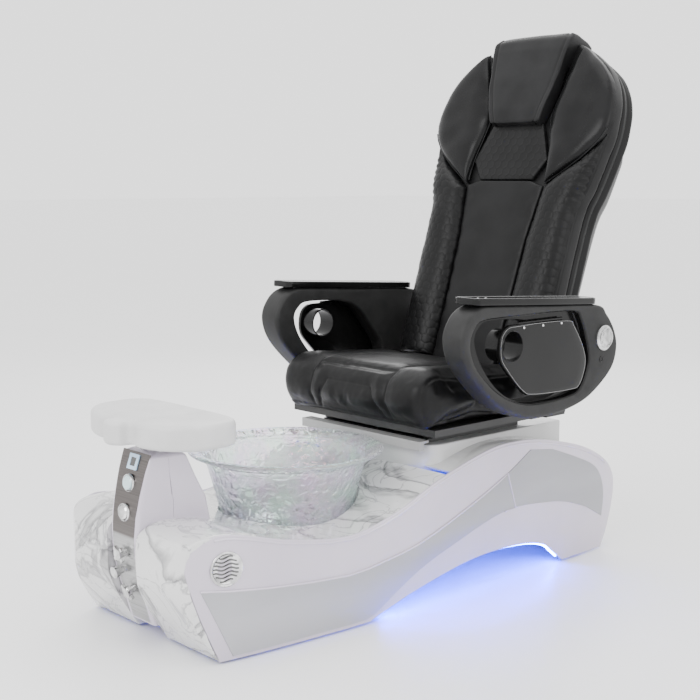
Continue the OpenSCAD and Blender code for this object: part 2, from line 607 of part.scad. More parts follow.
wing_pts = [[inner_x + 6, 502], [246, 584], [shoulder - 3, 668], [shoulder - 5, 762],
    [shoulder - 44, 832], [shoulder - 112, 890], [178, 904], [128, 720], [150, 584]];
module wing() on_back() along(-30, -0.5, wing_pts);
module shoulder_wing_left() color([0.1, 0.1, 0.11]) wing();
module shoulder_wing_right() color([0.1, 0.1, 0.11]) mirror([1, 0, 0]) wing();
module headrest() color([0.2, 0.2, 0.21]) on_back() difference() {
    intersection() {
        along(-44, 70, [[-90, 682], [90, 682], [118, 780], [141, back_len - 6], [134, back_len + 17],
            [-134, back_len + 17], [-141, back_len - 6], [-118, 780]]);
        across(-200, 200, [[-36, 682], [-0.5, 682], [-0.5, back_len - 1], [68, back_len - 1],
            [68, back_len + 8], [50, back_len + 17], [-14, back_len + 17], [-40, back_len - 14], [-44, 800]]);
    }
    both() along(-50, -0.4, wing_pts);
}
band_t = 44;
module back_band() color([0.13, 0.13, 0.13]) on_back() difference() {
    back_slab(cushion_t - 7.7, cushion_t + band_t, 4, -39, 928);
    block([-190, cushion_t - 10, -60], [190, cushion_t + band_t + 1, 800]);
}
// Rear shell: the moulded cover over the massage mechanism.
hump_prof = [[cushion_t + band_t + 0.3, -34], [170, -34], [186, 60], [204, 420], [206, 520], [201, 612],
    [176, 690], [140, 740], [136, 800], [120, 838], [cushion_t + band_t + 0.3, 860]];
module rear_outer(d) intersection() {
    along(cushion_t + band_t + 0.3, 230, back_shape(12 + d));
    across(-400, 400, [for (p = hump_prof) [p[0] - (p[0] > cushion_t + band_t + 5 ? d : 0),
        p[1] + (p[1] < 0 ? d : (p[1] > 700 ? -d : 0))]]);
}
module rear_shell() color([0.14, 0.14, 0.14]) on_back() difference() {
    rear_outer(0);
    difference() {
        rear_outer(shell_t);
        block([-400, 0, -100], [400, 300, -34 + shell_t]);
    }
    block([-400, 0, -100], [400, cushion_t + band_t + 0.2, 1000]);
    block([-200, 90, -60], [200, 150, 20]);
}
// Steel frame inside the back, with the rails that the massage carriage runs on.
tube_x = 160;
carriage_z = 330;
module back_frame() color("dimgray") {
    on_back() {
        both() block([tube_x, cushion_t, -30], [tube_x + 22, cushion_t + 24, 780]);
        block([-tube_x, cushion_t, 756], [tube_x, cushion_t + 24, 780]);
        block([-tube_x, cushion_t, -30], [tube_x, cushion_t + 24, -6]);
        both() rod_z(-6, 756, 90, cushion_t + 12, 7);
        both() block([tube_x, cushion_t + 2, hub_z], [tube_x + 22, hub_y + 14, -20]);
    }
    both() rod_x(tube_x, cheek_x + 10, hinge_y, hinge_z, hinge_r);
    both() rod_x(tube_x + 10, cheek_x - 1, hinge_y, hinge_z, hinge_r + 6);
}
module massage_carriage() color("gray") on_back() difference() {
    union() {
        block([-112, cushion_t + 1, carriage_z - 45], [112, cushion_t + 23, carriage_z + 45]);
        block([-60, cushion_t + 23, carriage_z - 40], [60, cushion_t + 75, carriage_z + 40]);
        both() block([60, cushion_t - 1, carriage_z - 8], [68, cushion_t + 8, carriage_z + 8]);
    }
    both() rod_z(carriage_z - 60, carriage_z + 60, 90, cushion_t + 12, 7 + run_gap);
    both() block([16, cushion_t - 10, carriage_z - 24], [58, cushion_t + 19, carriage_z + 24]);
    rod_x(-75, 75, cushion_t + 6, carriage_z, 4 + run_gap);
}
module massage_rollers() color("ivory") on_back() {
    both() rod_x(18, 56, cushion_t + 6, carriage_z, 12);
    rod_x(-66, 66, cushion_t + 6, carriage_z, 4);
}

// ---------- armrests ----------
arm_py = 545;
arm_pz = 631;
arm_in = seat_half + arm_gap;   // inner face of an armrest from the middle
arm_out = arm_in + arm_w;
arm_top_z = 751;
arm_slope = 3.4;
arm_edge = ring([[-17, 668], [4, 604], [72, 532], [136, 485], [225, 451], [310, 444], [400, 451],
    [498, 477], [590, 538], [616, 596], [604, 646], [566, 694], [520, 721], [300, 736], [100, 748],
    [44, 745], [4, 717]], 3);
arm_hole = ring([[50, 660], [66, 694], [105, 708], [235, 700], [302, 672], [360, 608], [398, 556],
    [392, 512], [330, 490], [220, 494], [140, 532], [76, 600]], 3);
arm_recess = ring([[12, 650], [24, 692], [60, 714], [190, 716], [408, 713], [450, 690], [482, 616],
    [488, 566], [458, 506], [400, 486], [258, 482], [167, 503], [98, 540], [36, 596]], 3);
recess_d = 24;
pivot_r = 12;
module armrest() difference() {
    intersection() {
        across(arm_in, arm_out, arm_edge);
        union() {
            across(arm_in + 8, arm_out - 8, arm_edge);
            across(arm_in, arm_out, shifted_ring(arm_edge, 6));
        }
    }
    across(arm_in - 1, arm_out + 1, arm_hole);
    across(arm_out - recess_d, arm_out + 1, arm_recess);
    rod_x(arm_in - 1, arm_out + 1, arm_py, arm_pz, pivot_r + run_gap);
    rod_x(arm_out - 6, arm_out + 1, arm_py - 6, arm_pz - 58, 8);
    tray_place() block([arm_in - 1, -70, 0.4], [arm_out + 1, tray_len + 60, 60]);
    tray_place() rod_z(-16, 1, pin_x, pin_y, pin_r + run_gap);
}
module armrest_left() color([0.15, 0.15, 0.16]) armrest();
module armrest_right() color([0.15, 0.15, 0.16]) mirror([1, 0, 0]) armrest();
module arm_pivot() {
    rod_x(arm_out + 0.4, arm_out + 6, arm_py, arm_pz, 34);
    rod_x(cheek_x + 10.5, arm_out + 0.5, arm_py, arm_pz, pivot_r);
    rod_x(arm_out + 6, arm_out + 13, arm_py, arm_pz, 27);
}
module arm_pivot_left() color("silver") arm_pivot();
module arm_pivot_right() color("silver") mirror([1, 0, 0]) arm_pivot();

// Local frame of the top tray: it lies on the armrest's sloping top, origin at its front.
module tray_place() translate([0, 30, arm_top_z]) rotate([-arm_slope, 0, 0]) children();
tray_len = 498;
pin_x = arm_in + 16;
pin_y = 34;
pin_r = 5;
module arm_tray() tray_place() {
    raised(1, 1 + tray_t, concat(
        [for (a = [180 : 15 : 270]) [arm_in + 14, 14] + 16 * [cos(a), sin(a)]],
        [for (a = [270 : 15 : 360]) [arm_out - 14, 14] + 16 * [cos(a), sin(a)]],
        [for (a = [0 : 15 : 90]) [arm_out - 34, tray_len - 36] + 36 * [cos(a), sin(a)]],
        [for (a = [90 : 15 : 180]) [arm_in + 22, tray_len - 24] + 24 * [cos(a), sin(a)]]));
    rod_z(-14, 2, pin_x, pin_y, pin_r);
}
module arm_tray_left() color([0.04, 0.04, 0.04]) arm_tray();
module arm_tray_right() color([0.04, 0.04, 0.04]) mirror([1, 0, 0]) arm_tray();

cup_y = 171;
cup_z = 640;
cup_depth = 56;
tray_x = arm_out - 14;
flap_hz = 694;
// Tray that hangs in the armrest's side and folds out level, with the cup sleeve through it.
flap_edge = ring([[150, 689], [200, 693], [392, 689], [424, 672], [466, 610], [476, 564], [452, 512],
    [410, 503], [262, 506], [216, 520], [158, 572], [126, 612], [126, 662]], 3);
module cup_tray() difference() {
    union() {
        across(tray_x, arm_out - 3, flap_edge);
        rod_x(arm_out - 3 - cup_depth, arm_out - 2, cup_y, cup_z, cup_r + 3.5);
        rod_y(200, 380, tray_x, flap_hz, 5);
    }
    rod_x(arm_out - cup_depth, arm_out + 1, cup_y, cup_z, cup_r);
}
module cup_tray_left() color([0.05, 0.05, 0.05]) cup_tray();
module cup_tray_right() color([0.05, 0.05, 0.05]) mirror([1, 0, 0]) cup_tray();

// Rearmost point of the back's band; the middle of the whole length becomes the origin.
back_rear = hinge_y + (cushion_t + band_t - hub_y) * cos(back_tilt)
    + (back_len - 12 - hub_z) * sin(back_tilt);
shift_y = -(foot_front + back_rear) / 2;
module set() translate([0, shift_y, 0]) children();
set() base_frame();
set() levelling_feet();
set() side_shell_left();
set() side_shell_right();
set() side_inlay_left();
set() side_inlay_right();
set() side_grilles();
set() front_fascia();
set() deck();
set() tail_cover();
set() service_panel();
set() led_strips();
set() pillar();
set() control_strip();
set() display_bezel();
set() display_screen();
set() jet_button();
set() light_button();
set() hot_knob();
set() cold_knob();
set() sprayer();
set() footrest_posts();
set() footrest_pad();
set() bowl();
set() bowl_seal();
set() drain_body();
set() drain_stopper();
set() jet_cover();
set() jet_impeller();
set() jet_motor();
set() mixing_valve();
set() discharge_pump();
set() water_pipes();
set() pedestal();
set() shelf_strip();
set() slide_rails();
set() slide_screw();
set() seat_carriage();
set() recline_motor();
set() seat_pan();
set() seat_cushion();
set() back_frame();
set() rear_shell();
set() back_band();
set() back_cushion();
set() shoulder_wing_left();
set() shoulder_wing_right();
set() headrest();
set() massage_carriage();
set() massage_rollers();
set() armrest_left();
set() armrest_right();
set() arm_pivot_left();
set() arm_pivot_right();
set() arm_tray_left();
set() arm_tray_right();
set() cup_tray_left();
set() cup_tray_right();
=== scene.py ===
# %% [markdown]
# # A pedicure spa chair, made in cells
# The chair's parts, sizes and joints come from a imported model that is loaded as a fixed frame. Everything
# made here is only about looks, so it is placed by that frame and rides on its bodies.
# %% Load the frame
import json
import math
from math import cos, pi, radians, sin

import bmesh
import bpy
import numpy as np
from mathutils import Matrix, Vector, noise


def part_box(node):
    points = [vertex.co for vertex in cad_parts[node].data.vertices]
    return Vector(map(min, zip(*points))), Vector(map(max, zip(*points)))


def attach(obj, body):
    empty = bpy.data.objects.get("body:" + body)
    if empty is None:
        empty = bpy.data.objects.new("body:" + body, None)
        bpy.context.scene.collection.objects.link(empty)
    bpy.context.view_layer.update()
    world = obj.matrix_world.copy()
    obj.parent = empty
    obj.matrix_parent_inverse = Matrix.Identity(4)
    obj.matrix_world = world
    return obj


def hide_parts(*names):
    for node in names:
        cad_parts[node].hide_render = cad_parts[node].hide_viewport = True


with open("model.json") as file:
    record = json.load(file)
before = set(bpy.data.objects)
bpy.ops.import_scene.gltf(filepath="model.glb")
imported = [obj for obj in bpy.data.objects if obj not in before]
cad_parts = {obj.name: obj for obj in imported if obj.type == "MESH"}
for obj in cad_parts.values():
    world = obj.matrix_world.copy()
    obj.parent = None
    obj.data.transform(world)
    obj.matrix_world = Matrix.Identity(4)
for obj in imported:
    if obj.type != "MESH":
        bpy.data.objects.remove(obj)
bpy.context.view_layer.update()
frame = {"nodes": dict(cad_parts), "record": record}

# %% [markdown]
# Sizes below are in millimetres and are measured along the chair from the same station as in the design,
# where the front tip of the footrest is at -767. One function turns such a place into metres.
# %% Places on the chair
MM = 0.001
FOOT_TIP = -767
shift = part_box("footrest_pad")[0].y / MM - FOOT_TIP


def at(x, y, z):
    return Vector((x, y + shift, z)) * MM


# The back has a frame of its own: "out" is away from the sitter and "up" runs along it.
lean = radians(19)
HINGE_Y, HINGE_Z = 500, 470
HUB_OUT, HUB_UP = 95, -62


def on_back(x, out, up):
    y, z = out - HUB_OUT, up - HUB_UP
    return at(x, HINGE_Y + y * cos(lean) + z * sin(lean), HINGE_Z - y * sin(lean) + z * cos(lean))


print("the hinge of the back is at", [round(v, 3) for v in at(0, HINGE_Y, HINGE_Z)])

# %% [markdown]
# Outlines are drawn with a few points and a smooth curve through them. A table of pairs gives a value that
# changes along the chair, such as its half width.
# %% Curves and tables


def smooth(points, steps, closed=False):
    """Points on a smooth curve through the given ones."""
    count = len(points)
    made = []
    for i in range(count if closed else count - 1):
        near = [i - 1, i, i + 1, i + 2]
        near = [j % count if closed else min(max(j, 0), count - 1) for j in near]
        a, b, c, d = (np.array(points[j], float) for j in near)
        for t in (k / steps for k in range(steps)):
            made.append(0.5 * (2 * b + (c - a) * t + (2 * a - 5 * b + 4 * c - d) * t**2
                               + (3 * b - a - 3 * c + d) * t**3))
    return made if closed else made + [np.array(points[-1], float)]


def read(table, key):
    """The value at key in a table of (key, value) pairs, straight between them."""
    keys, values = zip(*table)
    return float(np.interp(key, keys, values))


def ease(t):
    t = min(max(t, 0.0), 1.0)
    return t * t * (3 - 2 * t)


half_width = [(-721, 228), (-712, 237), (-695, 244), (-677, 250), (-633, 260), (-560, 271), (-480, 280),
              (-297, 295), (-100, 303), (300, 306), (600, 306), (753, 300)]
print("the base is", 2 * read(half_width, -297), "mm wide at the bowl")

# %% [markdown]
# Three ways of making a shape do most of the work. A grid whose corners are put on a surface makes skins and
# padded forms. A flat outline that is extruded and bevelled makes panels. A profile that is spun makes round
# things.
# %% Shapes


def move_all(bm, place):
    for v in bm.verts:
        v.co = place(*v.co)


def skin(columns, rows, place, outward=None, weld=False):
    """A grid with its corners at place(u, v), where u and v run from 0 to 1."""
    bm = bmesh.new()
    bmesh.ops.create_grid(bm, x_segments=columns, y_segments=rows, size=0.5)
    for v in bm.verts:
        v.co = place(v.co.x + 0.5, v.co.y + 0.5)
    if weld:
        largest = max(max(abs(c) for c in v.co) for v in bm.verts)
        bmesh.ops.remove_doubles(bm, verts=bm.verts, dist=2e-6 * max(largest, 1.0))
        bmesh.ops.recalc_face_normals(bm, faces=bm.faces)
    bm.normal_update()
    if outward is not None:
        facing = sum((f.normal * f.calc_area() for f in bm.faces), Vector())
        if facing.dot(Vector(outward)) < 0:
            bmesh.ops.reverse_faces(bm, faces=bm.faces)
    return bm


def close_ends(bm):
    edges = [e for e in bm.edges if e.is_boundary]
    bmesh.ops.holes_fill(bm, edges=edges, sides=0)
    bmesh.ops.recalc_face_normals(bm, faces=bm.faces)
    return bm


def slab(outline, thickness, rounding, segments=3, cuts=()):
    """A flat outline made thick, with rounded edges, and cut at some places so that it can bend."""
    bm = bmesh.new()
    face = bm.faces.new([bm.verts.new((u, v, 0)) for u, v in outline])
    body = bmesh.ops.extrude_face_region(bm, geom=[face])
    top = [g for g in body["geom"] if isinstance(g, bmesh.types.BMVert)]
    bmesh.ops.translate(bm, vec=(0, 0, thickness), verts=top)
    bmesh.ops.recalc_face_normals(bm, faces=bm.faces)
    sharp = [e for e in bm.edges if abs(e.verts[0].co.z - e.verts[1].co.z) < 1e-9]
    bmesh.ops.bevel(bm, geom=sharp, offset=rounding, segments=segments, profile=0.5, affect="EDGES",
                    clamp_overlap=True, material=-1)
    for cut in cuts:
        bmesh.ops.bisect_plane(bm, geom=[*bm.verts, *bm.edges, *bm.faces], plane_co=(cut, 0, 0),
                               plane_no=(1, 0, 0))
    return bm


def spun(profile, steps=96):
    """A profile of (radius, height) pairs, turned about Z."""
    bm = bmesh.new()
    line = [bm.verts.new((r, 0, z)) for r, z in profile]
    edges = [bm.edges.new(pair) for pair in zip(line, line[1:])]
    bmesh.ops.spin(bm, geom=line + edges, cent=(0, 0, 0), axis=(0, 0, 1), angle=2 * pi, steps=steps,
                   use_merge=True)
    bmesh.ops.remove_doubles(bm, verts=bm.verts, dist=1e-4)
    bmesh.ops.recalc_face_normals(bm, faces=bm.faces)
    return bm


def join(*parts):
    """Several meshes as one."""
    whole = parts[0]
    for part in parts[1:]:
        mesh = bpy.data.meshes.new("part")
        part.to_mesh(mesh)
        part.free()
        whole.from_mesh(mesh)
        bpy.data.meshes.remove(mesh)
    return whole


trial = slab(((0, 0), (10, 0), (10, 6), (0, 6)), 2, 0.5)
print("a small rounded slab has", len(trial.faces), "faces")
trial.free()

# %% [markdown]
# Each finished mesh becomes an object at the origin, shaded smooth with its sharp edges kept. It rides on a
# body, takes the finish of the material slot that it stands for, and may replace plain nodes of the frame. A
# piece that the chair has on both sides is made once for the left and mirrored for the right.
# %% Finished pieces


def finished(name, bm, material, body, nodes=(), sharp=38):
    closed = all(len(e.link_faces) == 2 for e in bm.edges)
    if closed and bm.calc_volume(signed=True) < 0:
        bmesh.ops.reverse_faces(bm, faces=bm.faces)
    mesh = bpy.data.meshes.new(name)
    bm.to_mesh(mesh)
    bm.free()
    mesh.materials.append(material)
    mesh.shade_smooth()
    mesh.set_sharp_from_angle(angle=radians(sharp))
    piece = bpy.data.objects.new(name, mesh)
    bpy.context.scene.collection.objects.link(piece)
    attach(piece, body)
    if nodes:
        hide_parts(*nodes)
    print(name, "has", len(mesh.polygons), "faces")
    return piece


def both_sides(name, make, material, body, nodes=(), sharp=38):
    """The left piece from make(), and its mirror image on the right."""
    pieces = []
    for side, sign in (("left", 1), ("right", -1)):
        bm = make()
        if sign < 0:
            bmesh.ops.scale(bm, vec=(-1, 1, 1), verts=bm.verts)
            bmesh.ops.reverse_faces(bm, faces=bm.faces)
        own = [n.format(side=side) for n in nodes]
        pieces.append(finished(f"{name}_{side}", bm, material, body.format(side=side), own, sharp))
    return pieces

# %% [markdown]
# # Finishes
# Every finish starts from the same few nodes. Noise on the Object coordinates drifts the colour between two
# tones and varies the roughness, and a second pattern makes the fine bump. Numbers that are the same all over
# go straight on the shader's sockets.
# %% A finish from noise


def finish(name, tones, rough, metal=0.0, drift=8.0, stretch=(1, 1, 1), grain=None, spread=0.05, **sockets):
    """A material. tones is two colours, grain is (pattern, scale, depth in mm) for the bump."""
    material = bpy.data.materials.new(name)
    material.use_nodes = True
    nodes, links = material.node_tree.nodes, material.node_tree.links
    shader = nodes["Principled BSDF"]
    place = nodes.new("ShaderNodeTexCoord").outputs["Object"]
    mapping = nodes.new("ShaderNodeMapping")
    mapping.inputs["Scale"].default_value = stretch
    links.new(place, mapping.inputs["Vector"])
    noise_node = nodes.new("ShaderNodeTexNoise")
    noise_node.inputs["Scale"].default_value = drift
    noise_node.inputs["Detail"].default_value = 6
    links.new(mapping.outputs[0], noise_node.inputs["Vector"])
    ramp = nodes.new("ShaderNodeValToRGB")
    ramp.color_ramp.elements[0].position = 0.35
    ramp.color_ramp.elements[1].position = 0.65
    for stop, tone in zip(ramp.color_ramp.elements, tones):
        stop.color = (*tone, 1)
    links.new(noise_node.outputs["Fac"], ramp.inputs[0])
    links.new(ramp.outputs[0], shader.inputs["Base Color"])
    vary = nodes.new("ShaderNodeMapRange")
    vary.inputs["To Min"].default_value = rough - spread
    vary.inputs["To Max"].default_value = rough + spread
    links.new(noise_node.outputs["Fac"], vary.inputs["Value"])
    links.new(vary.outputs[0], shader.inputs["Roughness"])
    shader.inputs["Metallic"].default_value = metal
    for socket, value in sockets.items():
        shader.inputs[socket.replace("_", " ")].default_value = value
    if grain:
        kind, scale, depth = grain
        pattern = nodes.new("ShaderNodeTexVoronoi" if kind == "pebbles" else "ShaderNodeTexNoise")
        pattern.inputs["Scale"].default_value = scale
        pattern.inputs["Detail"].default_value = 2
        links.new(mapping.outputs[0], pattern.inputs["Vector"])
        bump = nodes.new("ShaderNodeBump")
        bump.inputs["Strength"].default_value = 0.6
        bump.inputs["Distance"].default_value = depth * MM
        links.new(pattern.outputs[0], bump.inputs["Height"])
        links.new(bump.outputs[0], shader.inputs["Normal"])
    return material


def grey(value, tint=0.0):
    return (value, value, value * (1 + tint))


print("a mid grey is", grey(0.5))

# %% [markdown]
# The moulded parts are glossy plastics, and the trim is steel. Brushed metal is noise stretched along one
# axis. Chrome carries painted reflections: its colour drifts between dark and bright grey. Gelcoat and
# lacquer get a clear coat.
# %% Plastics and metals
coat = {"Coat_Weight": 1.0, "Coat_Roughness": 0.04}
finishes = {
    "pearl_shell": finish("pearl", ((0.50, 0.45, 0.54), (0.58, 0.53, 0.62)), 0.34, 0.15, drift=3,
                          grain=("noise", 900, 0.02), **coat),
    "silver_inlay": finish("satin silver", (grey(0.33, 0.08), grey(0.42, 0.06)), 0.30, 0.85, drift=5,
                           stretch=(1, 0.2, 1), grain=("noise", 300, 0.02)),
    "marble_skin": finish("marble", (grey(0.60), grey(0.72)), 0.16, drift=2, **coat),
    "white_gloss": finish("white gelcoat", (grey(0.52), grey(0.58)), 0.2, grain=("noise", 500, 0.02), **coat),
    "footrest_white": finish("satin white foam", (grey(0.56), grey(0.62)), 0.42, drift=14,
                             grain=("pebbles", 900, 0.05)),
    "brushed_panel": finish("brushed steel", (grey(0.34), grey(0.46)), 0.3, 0.9, drift=60,
                            stretch=(0.06, 1, 6), grain=("noise", 120, 0.03), spread=0.08),
    # Chrome: the two tones are painted reflections, bright and dark patches in the colour itself.
    "polished_chrome": finish("chrome", (grey(0.40), grey(0.86)), 0.08, 1.0, drift=38, spread=0.03),
    "button_face": finish("pale button", ((0.50, 0.66, 0.70), (0.60, 0.76, 0.80)), 0.3, drift=40,
                          **coat),
    "display_plate": finish("pale blue plate", ((0.42, 0.60, 0.80), (0.50, 0.68, 0.86)), 0.3, drift=20,
                            **coat),
    "screen_black": finish("screen glass", (grey(0.006), grey(0.01)), 0.1, **coat),
    "grey_strip": finish("grey shelf", (grey(0.30), grey(0.36)), 0.4, grain=("noise", 700, 0.03)),
    "black_frame": finish("black steel", (grey(0.02), grey(0.03)), 0.4, 0.3, grain=("noise", 500, 0.04)),
    "steel_frame": finish("zinc steel", (grey(0.45), grey(0.55)), 0.38, 0.9, drift=25),
    "steel_shaft": finish("ground steel", (grey(0.55), grey(0.65)), 0.2, 1.0, drift=30, stretch=(1, 0.1, 1)),
    "motor_grey": finish("cast grey", (grey(0.14), grey(0.20)), 0.5, 0.4, grain=("noise", 400, 0.08)),
    "brass_valve": finish("brass", ((0.62, 0.46, 0.20), (0.72, 0.55, 0.27)), 0.28, 1.0, drift=30),
    "pump_black": finish("pump plastic", (grey(0.02), grey(0.035)), 0.42, grain=("noise", 500, 0.05)),
    "pipe_metal": finish("braided hose", (grey(0.42), grey(0.58)), 0.35, 0.9, drift=200,
                         grain=("pebbles", 500, 0.2)),
    "rubber_black": finish("rubber", (grey(0.015), grey(0.03)), 0.75, grain=("noise", 600, 0.08)),
    "led_blue": finish("blue light strip", ((0.02, 0.10, 0.6), (0.03, 0.14, 0.7)), 0.4,
                       Emission_Color=(0.0, 0.05, 1.0, 1), Emission_Strength=12.0),
    "panel_grey": finish("grey cover", (grey(0.24), grey(0.28)), 0.45, grain=("noise", 600, 0.05)),
    "rear_plastic": finish("black moulding", (grey(0.005), grey(0.010)), 0.40, drift=10,
                           grain=("pebbles", 500, 0.08), Coat_Weight=0.3, Coat_Roughness=0.2),
    "arm_plastic": finish("textured grey", (grey(0.010), grey(0.016)), 0.55, drift=30,
                          grain=("pebbles", 700, 0.12), Specular_IOR_Level=0.3),
    "tray_gloss": finish("black lacquer", (grey(0.004), grey(0.007)), 0.18, drift=6, Specular_IOR_Level=0.2,
                         Coat_Weight=0.06, Coat_Roughness=0.05),
    "roller_nylon": finish("nylon", (grey(0.62), grey(0.70)), 0.35, drift=20),
    "impeller_white": finish("white nylon", (grey(0.68), grey(0.74)), 0.3, drift=20),
}
print(len(finishes), "finishes so far")

# %% [markdown]
# The pillar's strip is tinted dark above and bare below. A step on the height in Object coordinates mixes the
# two tones.
# %% Tinted strip
TINT_FROM, TINT_TO = 0.250, 0.256


def tint_above(material, tone):
    nodes, links = material.node_tree.nodes, material.node_tree.links
    shader = nodes["Principled BSDF"]
    height = nodes.new("ShaderNodeSeparateXYZ")
    links.new(nodes.new("ShaderNodeTexCoord").outputs["Object"], height.inputs[0])
    step = nodes.new("ShaderNodeMapRange")
    step.inputs["From Min"].default_value = TINT_FROM
    step.inputs["From Max"].default_value = TINT_TO
    links.new(height.outputs["Z"], step.inputs["Value"])
    mix = nodes.new("ShaderNodeMix")
    mix.data_type = "RGBA"
    mix.blend_type = "MULTIPLY"
    links.new(step.outputs[0], mix.inputs["Factor"])
    links.new(shader.inputs["Base Color"].links[0].from_socket, mix.inputs["A"])
    mix.inputs["B"].default_value = (*tone, 1)
    links.new(mix.outputs["Result"], shader.inputs["Base Color"])


tint_above(finishes["brushed_panel"], (0.30, 0.27, 0.26))
print("the strip is dark above", round(TINT_TO / MM), "mm")

# %% [markdown]
# Marble has thin veins. They are the places where a warped noise is close to its middle value, which a narrow
# dip in the colour ramp picks out, and a second, finer set crosses them.
# %% Marble veins


def add_veins(material):
    nodes, links = material.node_tree.nodes, material.node_tree.links
    shader = nodes["Principled BSDF"]
    place = nodes.new("ShaderNodeTexCoord").outputs["Object"]
    colour = shader.inputs["Base Color"].links[0].from_socket
    for scale, width, dark in ((4.2, 0.022, 0.24), (9.0, 0.012, 0.45)):
        vein = nodes.new("ShaderNodeTexNoise")
        vein.inputs["Scale"].default_value = scale
        vein.inputs["Detail"].default_value = 7
        vein.inputs["Distortion"].default_value = 1.3
        links.new(place, vein.inputs["Vector"])
        dip = nodes.new("ShaderNodeValToRGB")
        middle = dip.color_ramp.elements.new(0.5)
        middle.color = (dark, dark, dark * 1.04, 1)
        dip.color_ramp.elements[0].position = 0.5 - 3 * width
        dip.color_ramp.elements[2].position = 0.5 + width
        for end in (0, 2):
            dip.color_ramp.elements[end].color = (1, 1, 1, 1)
        links.new(vein.outputs["Fac"], dip.inputs[0])
        mix = nodes.new("ShaderNodeMix")
        mix.data_type = "RGBA"
        mix.blend_type = "MULTIPLY"
        mix.inputs["Factor"].default_value = 0.85
        links.new(colour, mix.inputs["A"])
        links.new(dip.outputs[0], mix.inputs["B"])
        colour = mix.outputs["Result"]
    links.new(colour, shader.inputs["Base Color"])


add_veins(finishes["marble_skin"])
print("marble has", len(finishes["marble_skin"].node_tree.nodes), "nodes")

# %% [markdown]
# The bowl is clear crackled glass with a sheen that turns from lilac to green. The crackle is the border
# pattern of a Voronoi texture, used as bump, and the sheen is a thin film with tinted glass.
# %% Crackled glass


def crackled(name):
    tints = ((0.95, 0.84, 1.0), (0.84, 1.0, 0.92))
    material = finish(name, tints, 0.05, drift=16, spread=0.03, Transmission_Weight=0.84, IOR=1.45,
                      Thin_Film_Thickness=480.0)
    nodes, links = material.node_tree.nodes, material.node_tree.links
    shader = nodes["Principled BSDF"]
    place = nodes.new("ShaderNodeTexCoord").outputs["Object"]
    cells = nodes.new("ShaderNodeTexVoronoi")
    cells.feature = "DISTANCE_TO_EDGE"
    cells.inputs["Scale"].default_value = 42
    links.new(place, cells.inputs["Vector"])
    line = nodes.new("ShaderNodeMapRange")
    line.inputs["From Max"].default_value = 0.45
    links.new(cells.outputs["Distance"], line.inputs["Value"])
    bump = nodes.new("ShaderNodeBump")
    bump.inputs["Distance"].default_value = 2.6 * MM
    bump.inputs["Strength"].default_value = 1.0
    links.new(line.outputs[0], bump.inputs["Height"])
    links.new(bump.outputs[0], shader.inputs["Normal"])
    return material


finishes["bowl_glass"] = crackled("crackled glass")
print("crackled glass has", len(finishes["bowl_glass"].node_tree.nodes), "nodes")

# %% [markdown]
# The covers are a synthetic leather with a fine pebble grain. Where a piece has seams or a stitched pattern,
# its mesh carries a "crease" value at each corner, and the leather's colour is darkened there as painted
# shade in the grooves.
# %% Leather


def leather(name, dark, light, rough):
    material = finish(name, (grey(dark, 0.05), grey(light, 0.05)), rough, drift=12,
                      grain=("pebbles", 520, 0.10), Specular_IOR_Level=0.17)
    nodes, links = material.node_tree.nodes, material.node_tree.links
    shader = nodes["Principled BSDF"]
    # Painted shade: the crease value mixes the colour towards near black in seam grooves and honeycomb lines.
    crease = nodes.new("ShaderNodeAttribute")
    crease.attribute_name = "crease"
    mix = nodes.new("ShaderNodeMix")
    mix.data_type = "RGBA"
    links.new(crease.outputs["Fac"], mix.inputs["Factor"])
    links.new(shader.inputs["Base Color"].links[0].from_socket, mix.inputs["A"])
    mix.inputs["B"].default_value = (*grey(0.004), 1)
    links.new(mix.outputs["Result"], shader.inputs["Base Color"])
    return material


finishes["seat_leather"] = leather("seat leather", 0.003, 0.006, 0.38)
finishes["back_leather"] = leather("back leather", 0.004, 0.007, 0.38)
finishes["wing_leather"] = leather("wing leather", 0.004, 0.007, 0.27)
finishes["headrest_leather"] = leather("headrest leather", 0.007, 0.012, 0.42)
finishes["band_leather"] = leather("band leather", 0.003, 0.006, 0.40)
print("leathers:", [name for name in finishes if name.endswith("leather")])

# %% [markdown]
# Every node of the frame takes the finish of its own slot, whether or not a piece replaces it later.
# %% Dress the frame
for row in frame["record"]["subparts"]:
    node = frame["nodes"][row["node"]]
    node.data.materials.clear()
    node.data.materials.append(finishes[row["material_slot"]])
print("dressed", len(frame["nodes"]), "nodes")

# %% [markdown]
# # Camera, floor and light
# The camera stands at the chair's front left, a little above the seat. The floor is a large plain sheet, and
# the light comes from big soft panels.
# %% Camera
eye = bpy.data.cameras.new("eye")
SENSOR_WIDTH, LENS = 36, 63.6
eye.sensor_width, eye.lens = SENSOR_WIDTH, LENS
camera = bpy.data.objects.new("camera", eye)
camera.location = (2.3467, -2.23163, 1.0496)
camera.rotation_euler = (radians(82.2), 0, radians(47.2))
bpy.context.scene.collection.objects.link(camera)
bpy.context.scene.camera = camera
print("the camera stands", round(camera.location.length, 2), "m from the chair's middle")

# %% Floor and light
FLOOR_REACH = 60.0
FLOOR_DROP = 0.0005
LIT_PLACE = Vector((0, 0, 0.6))
STUDIO_STRENGTH = 2.0
bm = bmesh.new()
bmesh.ops.create_grid(bm, x_segments=8, y_segments=8, size=FLOOR_REACH)
bmesh.ops.translate(bm, vec=(0, 0, -FLOOR_DROP), verts=bm.verts)
floor_mesh = bpy.data.meshes.new("floor")
bm.to_mesh(floor_mesh)
bm.free()
floor_mesh.materials.append(finish("pale floor", (grey(0.90), grey(0.91)), 0.35, drift=2))
floor = bpy.data.objects.new("floor", floor_mesh)
bpy.context.scene.collection.objects.link(floor)


